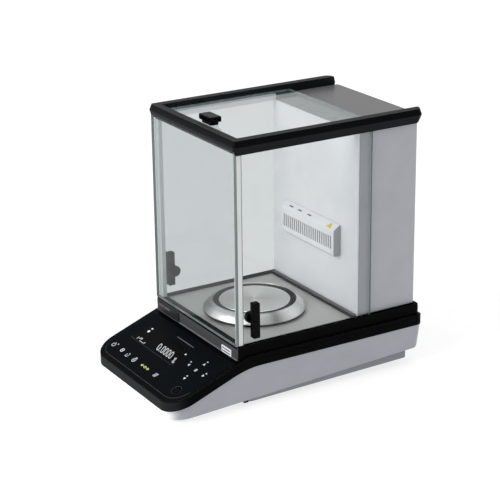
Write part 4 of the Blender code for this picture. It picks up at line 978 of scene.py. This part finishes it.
# ---- front band ---------------------------------------------------------------------------
class BALANCE_OT_band(bpy.types.Operator):
    """Builds the band between the console and the front glass"""
    bl_idname = "balance.band"
    bl_label = "Front band"

    def execute(self, context):
        x0, x1, y0, y1, z0, z1 = span("front_band")
        outline = rounded([(y1, z0, 0), (y0 + 0.05, z0, 0.5), (y0 + 0.05, z0 + 1.7, 0.4),
                           (y0 + 0.75, z0 + 2.3, 0), (y0 + 0.5, z1 - 2.2, 0.2),
                           (y0 + 1.0, z1 - 1.9, 0.2), (y0 + 1.0, z1, 0.3), (y1, z1, 0)], 4)
        band = soften(side_prism("front_band_surface", outline, x0, x1), 0.25, 2, 50)
        dress(band, "band", "black_gloss", "cover")
        second_finish(band, lambda c, n: c.z > (z1 - 2.4) * MM, 1)
        second_finish(band, lambda c, n: c.z < (z0 + 2.0) * MM and n.y < 0.5, 2)
        place(band, "root", "dark_grey_plastic", "front_band")
        for node, finish, slot in (("band_label", "band_dark", "black_plastic"),
                                   ("band_plaque", "white", "white_plastic")):
            low = span(node)
            plate = block(node + "_surface", low[0], low[1], low[2] + 0.2, low[3] + 1.1, low[4] + 0.6,
                          low[5])
            soften(plate, 0.2, 2)
            finished(plate, finish, "root", slot, node)
        plaque = span("band_plaque")
        lines = [block("rule", plaque[0] + 1.6, plaque[1] - 1.6, plaque[2] + 0.15, plaque[2] + 0.4,
                       z, z + 1.5) for z in (plaque[5] - 3.2, plaque[4] + 2.2)]
        rules = join("plaque_rules", lines)
        finished(rules, "band_dark", "root", "black_plastic")
        label = span("band_label")
        bars = [block("rule", label[0] + 4, label[0] + 17, label[2] + 0.15, label[2] + 0.4,
                      label[5] - 4.6, label[5] - 3.2),
                block("rule", label[0] + 20, label[0] + 33, label[2] + 0.15, label[2] + 0.4,
                      label[5] - 5.2, label[5] - 3.0)]
        marks = join("label_rules", bars)
        finished(marks, "grey_print", "root", "black_plastic")
        return {"FINISHED"}


# ---- draught shield -----------------------------------------------------------------------
def glaze(node, body, broad_axis):
    """A pane with its ground edges in their own finish; the left door's pane is drawn deeper in tint,
    painted shade on that door.
    """
    shield = bpy.context.scene.balance_shield
    obj = box_block(node, shield.pane_edge / MM)
    kinds = {"top_glass": "glass_top", "door_glass_left": "glass_shaded"}
    dress(obj, kinds.get(node, "glass"), "edge")
    second_finish(obj, lambda c, n: abs(n[broad_axis]) < 0.9)
    return place(obj, body, "clear_glass", node)


class BALANCE_OT_shield(bpy.types.Operator):
    """Builds the panes, the corner posts, the top frame and the handles"""
    bl_idname = "balance.shield"
    bl_label = "Draught shield"

    def execute(self, context):
        shield = context.scene.balance_shield
        glaze("front_glass", "root", 1)
        glaze("top_glass", "top_door", 2)
        for side in ("left", "right"):
            glaze("door_glass_" + side, "door_" + side, 0)
            post = box_block("corner_post_" + side, 0.5)
            finished(post, "post", "root", "white_plastic", "corner_post_" + side)
            runner = box_block("glass_runner_" + side, 0.3)
            finished(runner, "white", "root", "white_plastic", "glass_runner_" + side)
            self.handle(side, shield)
        self.top(shield)
        self.grip(shield)
        return {"FINISHED"}

    def handle(self, side, shield):
        x0, x1, y0, y1, z0, z1 = span("door_handle_" + side)
        bar = block("door_handle_%s_surface" % side, x0, x1, y0, y1, z0, z1)
        pick_faces(bar, lambda c, n: (n.x > 0.9) if side == "right" else (n.x < -0.9))
        bpy.ops.mesh.inset(thickness=0.9 * MM, depth=0)
        settle()
        soften(bar, shield.grip_edge / MM, 4)
        finished(bar, "black_gloss", "door_" + side, "black_plastic", "door_handle_" + side)
        b = span("door_boss_" + side)
        inner = b[0] if side == "right" else b[1]
        middle = (b[2] + b[3]) / 2, (b[4] + b[5]) / 2
        cap = rod("door_boss_%s_surface" % side, (b[0] + b[1]) / 2, middle[0], middle[1],
                  (b[3] - b[2]) / 2, b[1] - b[0], "X", 40)
        pick_faces(cap, lambda c, n: abs(c.x - inner * MM) < 0.0004)
        bpy.ops.mesh.inset(thickness=2.6 * MM, depth=-0.8 * MM)
        settle()
        soften(cap, 0.9, 3)
        finished(cap, "black_gloss", "door_" + side, "black_plastic", "door_boss_" + side)

    def top(self, shield):
        x0, x1, y0, y1, z0, z1 = span("top_frame")
        door = span("door_glass_right")
        crease = z1 - shield.crease / MM
        outline = rectangle(x0, x1, y0, y1, (4, 4, 9, 9), 8)
        middle = at(0, (y0 + y1) / 2, 0)
        frame_body = plan_prism("top_frame_surface", outline, z0, crease)
        pick_faces(frame_body, lambda c, n: n.z < -0.9)
        bpy.ops.transform.resize(value=(1 - 3.0 / x1, 1 - 4.6 / (y1 - y0), 1), center_override=middle)
        bpy.ops.object.mode_set(mode="OBJECT")
        pick_faces(frame_body, lambda c, n: n.z > 0.9)
        bpy.ops.mesh.extrude_region_move(TRANSFORM_OT_translate={"value": (0, 0, (z1 - crease) * MM)})
        bpy.ops.transform.resize(value=(1 - 2.0 / x1, 1 - 4.0 / (y1 - y0), 1), center_override=middle)
        settle()
        glass, cover = span("top_glass"), span("top_cover")
        inner = door[1] - RAIL_INSET
        rail_rear = y0 + FRONT_RAIL
        opening = plan_prism("opening", rectangle(-inner, inner, rail_rear, y1 + 20,
                                                  (1.5, 1.5, 0, 0), 4), z0 - 20, z1 + 20)
        runner = [block("runner_room", *across(side, inner - 1, 96.3), rail_rear,
                        cover[2] + 1, z0 - 5, glass[4]) for side in (-1, 1)]
        pane_rear = 4.4
        slots = [block("slot", *across(side, door[0] - PANE_ROOM, door[1] + PANE_ROOM),
                       pane_rear, y1 + 9, z0 - 5, z0 + 5) for side in (-1, 1)]
        pane_half, pane_front = 101, -0.35
        front = block("slot", -pane_half, pane_half, pane_front, pane_rear, z0 - 5, z0 + 5)
        cut(frame_body, opening, *runner, *slots, front)
        soften(frame_body, shield.frame_edge / MM, 3, 30)
        dress(frame_body, "frame_black", "frame_low", "line")
        # Painted light: the facets below the crease take the lighter copy of the frame's black.
        second_finish(frame_body, lambda c, n: c.z < crease * MM - 0.0002 and n.z < 0.2)
        # Painted highlight: the bevels at the frame's top take the lighter edge grey.
        second_finish(frame_body, lambda c, n: c.z > (z1 - 1.2) * MM and 0.25 < n.z < 0.97, 2)
        place(frame_body, "root", "black_plastic", "top_frame")
        # Painted highlight: thin grey strips just below the frame's top, along the opening's inner
        # edges, stand in for the highlights there.
        low, high = z1 - 1.1, z1 - 0.35
        lines = [block("bead", *across(side, inner + 0.1, inner + 0.9), rail_rear, y1 - 5,
                       low, high) for side in (-1, 1)]
        lines.append(block("bead", -inner, inner, rail_rear - 0.9, rail_rear - 0.1, low, high))
        bead = join("frame_highlight_strips", lines)
        finished(soften(bead, 0.2, 2), "cover", "root", "black_plastic")

    def grip(self, shield):
        x0, x1, y0, y1, z0, z1 = span("top_grip")
        head = block("top_grip_surface", x0, x1, y0, y1, z1 - 7, z1)
        pick_faces(head, lambda c, n: n.z > 0.9)
        bpy.ops.mesh.inset(thickness=1.2 * MM, depth=0)
        settle()
        soften(head, shield.grip_edge / MM, 4)
        foot = soften(block("foot", x0 + 3, x1 - 3, y0 + 2.5, y1 - 2.5, z0, z1 - 6.6), 0.8, 2)
        grip = join("top_grip_surface", [head, foot])
        finished(grip, "black_gloss", "top_door", "black_plastic", "top_grip")


# ---- chamber ------------------------------------------------------------------------------
class BALANCE_OT_chamber(bpy.types.Operator):
    """Builds the floor, the draught ring, the pan and the ionizer"""
    bl_idname = "balance.chamber"
    bl_label = "Chamber"

    def execute(self, context):
        chamber = context.scene.balance_chamber
        x0, x1, y0, y1, z0, z1 = span("floor_plate")
        floor = plan_prism("floor_plate_surface", rectangle(x0, x1, y0, y1, (1.5,) * 4, 4), z0, z1)
        pan = span("weighing_pan")
        cx, cy = (pan[0] + pan[1]) / 2, (pan[2] + pan[3]) / 2
        cut(floor, rod("hole", cx, cy, z0, 11, 20))
        soften(floor, 0.3, 2)
        finished(floor, "floor_steel", "root", "brushed_steel", "floor_plate")
        self.ring(chamber, cx, cy)
        self.pan(chamber, cx, cy, pan)
        self.ionizer(chamber)
        wall = box_block("back_wall", 0.4)
        finished(wall, "white", "root", "white_plastic", "back_wall")
        seal = box_block("wall_seal", 0.8)
        finished(seal, "seal", "root", "rubber", "wall_seal")
        return {"FINISHED"}

    def ring(self, chamber, cx, cy):
        ring = span("draft_ring")
        foot, top = ring[1] - cx, ring[5]
        low = top - RING_HEIGHT
        mouth = foot - RING_FLARE
        lip = 3.4

        def skin(eighths, out, drop, end):
            """A point of the flare, so many eighths of the way from the lip to the foot."""
            t = eighths / 8
            return (mouth + out + (foot - mouth - lip) * t,
                    top - drop - (top - drop - end) * (0.55 * t + 0.45 * t * t))

        profile = [(mouth, top - 0.5), (mouth + 0.25, top - 0.1), (mouth + 0.8, top),
                   (mouth + lip, top - 0.35)]
        profile += [skin(k, lip, 0.35, low + 0.9) for k in range(1, 9)]
        profile += [(foot, low), (foot - 1.2, low)]
        profile += [skin(k, 2.4, 1.8, low) for k in range(7, 0, -1)]
        profile += [(mouth + 1.0, top - 2.0), (mouth, top - 3.6)]
        ring_body = smooth(lathe("draft_ring_surface", profile, cx, cy, chamber.steps), 38)
        legs = []
        for k in range(3):
            angle = math.radians(90 + 120 * k)
            legs.append(rod("leg", cx + (foot - 4) * math.cos(angle), cy + (foot - 4) * math.sin(angle),
                            (ring[4] + low + 2) / 2, 2.2, low + 2 - ring[4], "Z", 20))
        whole = join("draft_ring_surface", [ring_body] + legs)
        finished(whole, "ring", "ring", "brushed_steel", "draft_ring")
        # Painted shade: a black washer in the gap between the pan and the ring's mouth, and a black
        # band under the ring's foot for the shadow there.
        shade = lathe("ring_gap_painted_shade", [(mouth - 6.4, top - 4.4), (mouth + 0.3, top - 4.4),
                                            (mouth + 0.3, top - 5.6), (mouth - 6.4, top - 5.6)],
                      cx, cy, 96)
        foot_shadow = lathe("ring_foot_painted_shadow", [(foot - 3.4, low + 0.4), (foot - 0.9, low + 0.4),
                                         (foot - 0.9, ring[4] + 0.1), (foot - 3.4, ring[4] + 0.1)],
                      cx, cy, 96)
        for dark in (shade, foot_shadow):
            finished(smooth(dark), "black", "ring", "brushed_steel")

    def pan(self, chamber, cx, cy, box):
        radius, low, top = box[1] - cx, box[4], box[5]
        profile = [(0, top), (radius - 1.6, top)]
        for k in range(1, 6):
            angle = math.radians(90 - 18 * k)
            profile.append((radius - 1.4 + 1.4 * math.cos(angle), top - 1.4 + 1.4 * math.sin(angle)))
        profile += [(radius, top - 3.0), (radius - 1.0, top - 3.0), (radius - 1.6, top - 1.6),
                    (9, top - 1.6), (9, low), (5.4, low), (5.4, top - 4), (0, top - 4)]
        pan = smooth(lathe("weighing_pan_surface", profile, cx, cy, chamber.steps), 38)
        finished(pan, "pan", "pan", "brushed_steel", "weighing_pan")

    def ionizer(self, chamber):
        x0, x1, y0, y1, z0, z1 = span("ionizer_cover")
        crest = y1 - 1.5
        outline = rounded([(y1, z0, 0), (y0 + 2, z0, 1.5), (y0, z0 + 3, 2.0),
                           (y0, z1 - CREST_DROP, 3.0), (crest, z1, 1.2), (y1, z1, 0)], 5)
        cover = side_prism("ionizer_cover_surface", outline, x0, x1)
        soften(cover, 1.0, 3, 45)
        room = block("room", x0 + 2, x1 - 2, y0 + 1.5, y1 - 0.8, z0 + 5, z1 - 9)
        row, half_slot = 108.0, 1.25
        pitch = row / (chamber.slots - 1)
        first = block("slots", -row / 2 - half_slot, -row / 2 + half_slot, y0 - 5, y0 + 3, z0 + 9.2,
                      z0 + 26.2)
        modifier = first.modifiers.new("row", "ARRAY")
        modifier.count = chamber.slots
        modifier.use_relative_offset = False
        modifier.use_constant_offset = True
        modifier.constant_offset_displace = (pitch * MM, 0, 0)
        apply_all(first)
        cut(cover, room, first)
        smooth(cover, 30)
        dress(cover, "white", "end_grey")
        second_finish(cover, lambda c, n: abs(n.x) > 0.7 and abs(c.x) > (x1 - 1.5) * MM)
        place(cover, "root", "white_plastic", "ionizer_cover")
        # Painted shade: a dark sheet behind the slots stands in for the shade inside the cover.
        slot_shade_sheet = block("ionizer_slot_shade_sheet", x0 + 3, x1 - 3, y0 + 2.4, y0 + 3.2, z0 + 7, z1 - 12)
        finished(soften(slot_shade_sheet, 0.2, 2), "slot_dark", "root", "black_plastic")

        slope = (y0 + crest) / 2, z1 - CREST_DROP / 2, math.atan2(CREST_DROP, crest - y0)
        marks = [block("mark", x - 4.2, x + 4.2, -0.9, 0.9, -0.06, PRINT)
                 for x in (-43.0, -23.0, -1.0)]
        strip = join("ionizer_marks", marks)
        finished(self.lean(strip, *slope), "grey_print", "root", "white_plastic")
        corners = [Vector(p) for p in ((40.5, -3.8), (52.5, -3.8), (46.5, 4.0))]
        patch = plan_prism("ionizer_caution", corners, -0.05, PRINT)
        finished(self.lean(patch, *slope), "caution", "root", "white_plastic")

    def lean(self, obj, y, z, rise):
        """Tilts a mark drawn at the glass's depth onto the ionizer's sloping top."""
        here = Matrix.Translation(at(0, 0, 0))
        obj.matrix_world = (Matrix.Translation(at(0, y, z)) @ Matrix.Rotation(rise, 4, "X")
                            @ here.inverted() @ obj.matrix_world)
        return freeze(only(obj))


# ---- rear ---------------------------------------------------------------------------------
class BALANCE_OT_rear(bpy.types.Operator):
    """Builds the silver housing behind the chamber and its dark cover"""
    bl_idname = "balance.rear"
    bl_label = "Rear housing"

    def execute(self, context):
        x0, x1, y0, y1, z0, z1 = span("rear_housing")
        outline = rectangle(x0, x1, y0, y1, (0.6, 0.6, 5, 5), 8)
        body = plan_prism("rear_housing_surface", outline, z0, z1)
        soften(body, 0.7, 3, 40)
        grooves = [block("vent", -60, 60, y1 - 1.6, y1 + 3, z, z + 2.2)
                   for z in (268 + 6 * k for k in range(6))]
        cut(body, *grooves)
        smooth(body, 30)
        finished(body, "silver", "root", "silver_paint", "rear_housing")
        x0, x1, y0, y1, z0, z1 = span("top_cover")
        lid = plan_prism("top_cover_surface", rectangle(x0, x1, y0, y1, (1, 1, 4, 4), 6), z0, z1)
        soften(lid, 1.1, 3, 40)
        finished(lid, "cover", "root", "dark_grey_plastic", "top_cover")
        return {"FINISHED"}


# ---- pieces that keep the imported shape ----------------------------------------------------
class BALANCE_OT_finishes(bpy.types.Operator):
    """Makes the materials that the other steps use"""
    bl_idname = "balance.finishes"
    bl_label = "Finishes"

    def execute(self, context):
        FINISH.update(make_finishes())
        return {"FINISHED"}


class BALANCE_OT_carry(bpy.types.Operator):
    """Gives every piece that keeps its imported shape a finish"""
    bl_idname = "balance.carry"
    bl_label = "Carried pieces"

    def execute(self, context):
        special = {"top_cover": "cover", "level_vial": "fluid", "ionizer_supply": "cover"}
        for name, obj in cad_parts.items():
            slots = obj.material_slots
            if not slots:
                raise RuntimeError(name + " has no material slot")
            for slot in slots:
                kind = slot.material.name.split(".")[0] if slot.material else ""
                slot.material = FINISH[special.get(name, SLOT_FINISH.get(kind, "black"))]
        return {"FINISHED"}


# ---- studio -------------------------------------------------------------------------------
class BALANCE_OT_studio(bpy.types.Operator):
    """Sets up the pale floor, the soft lights and the camera"""
    bl_idname = "balance.studio"
    bl_label = "Studio"

    def execute(self, context):
        studio = context.scene.balance_studio
        clear_selection()
        bpy.ops.mesh.primitive_grid_add(x_subdivisions=4, y_subdivisions=4, size=24)
        floor = named("studio_floor")
        dress(floor, "paper")
        floor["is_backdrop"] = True

        world = bpy.data.worlds.new("studio")
        context.scene.world = world
        world.use_nodes = True
        sky = world.node_tree.nodes["Background"]
        sky.inputs["Color"].default_value = (1, 1, 1, 1)
        sky.inputs["Strength"].default_value = studio.sky

        middle = sum(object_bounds(), Vector()) / 2
        self.lamp("key", (0.1, -2.4, 1.7), middle, 1.6, studio.key)
        self.lamp("top", (0.3, 0.2, 2.6), middle, 1.8, studio.key * 0.15)

        turn, height = studio.turn, studio.height
        back = Vector((math.sin(turn) * math.cos(height), -math.cos(turn) * math.cos(height),
                       math.sin(height)))
        right = Vector((0, 0, 1)).cross(back).normalized()
        up = back.cross(right)
        roll = math.radians(-0.715)
        level = right * math.cos(roll) + up * math.sin(roll)
        upright = up * math.cos(roll) - right * math.sin(roll)
        target = Vector((-0.0256, 0.0021, 0.1541))
        clear_selection()
        bpy.ops.object.camera_add(location=target + back * studio.distance)
        camera = context.object
        camera.name = "studio_camera"
        turned = Matrix((level, upright, back)).transposed().to_4x4()
        camera.matrix_world = Matrix.Translation(target + back * studio.distance) @ turned
        camera.data.lens = studio.lens
        camera.data.sensor_width = 36
        camera.data.shift_x = 0.0043
        camera.data.shift_y = -0.0037
        context.scene.camera = camera
        context.scene.view_settings.view_transform = "Standard"
        return {"FINISHED"}

    def lamp(self, name, place_at, target, size, power):
        clear_selection()
        bpy.ops.object.light_add(type="AREA", location=place_at)
        lamp = bpy.context.object
        lamp.name = "studio_" + name
        lamp.rotation_euler = (target - Vector(place_at)).to_track_quat("-Z", "Y").to_euler()
        lamp.data.shape = "SQUARE"
        lamp.data.size = size
        lamp.data.energy = power


# ---- add-on -------------------------------------------------------------------------------
class BALANCE_PT_panel(bpy.types.Panel):
    """The balance's settings and steps"""
    bl_idname = "BALANCE_PT_panel"
    bl_label = "Analytical balance"
    bl_space_type = "VIEW_3D"
    bl_region_type = "UI"
    bl_category = "Balance"

    def draw(self, context):
        for group in GROUPS:
            settings = getattr(context.scene, group)
            box = self.layout.box()
            for key in settings.__annotations__:
                box.prop(settings, key)
        for operator in OPERATORS:
            self.layout.operator(operator.bl_idname)


GROUPS = {
    "balance_base": BalanceBase, "balance_console": BalanceConsole, "balance_shield": BalanceShield,
    "balance_chamber": BalanceChamber, "balance_studio": BalanceStudio,
}
OPERATORS = [BALANCE_OT_finishes, BALANCE_OT_carry, BALANCE_OT_base, BALANCE_OT_console,
             BALANCE_OT_band, BALANCE_OT_shield, BALANCE_OT_chamber, BALANCE_OT_rear, BALANCE_OT_studio]


def register():
    for name, group in GROUPS.items():
        bpy.utils.register_class(group)
        setattr(bpy.types.Scene, name, bpy.props.PointerProperty(type=group))
    for operator in OPERATORS:
        bpy.utils.register_class(operator)
    bpy.utils.register_class(BALANCE_PT_panel)


def unregister():
    bpy.utils.unregister_class(BALANCE_PT_panel)
    for operator in reversed(OPERATORS):
        bpy.utils.unregister_class(operator)
    for name, group in reversed(list(GROUPS.items())):
        delattr(bpy.types.Scene, name)
        bpy.utils.unregister_class(group)


def main():
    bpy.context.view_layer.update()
    register()
    for operator in OPERATORS:
        group, step = operator.bl_idname.split(".")
        result = getattr(getattr(bpy.ops, group), step)()
        if result != {"FINISHED"}:
            raise RuntimeError(operator.bl_label + " did not finish")


if __name__ == "__main__":
    main()
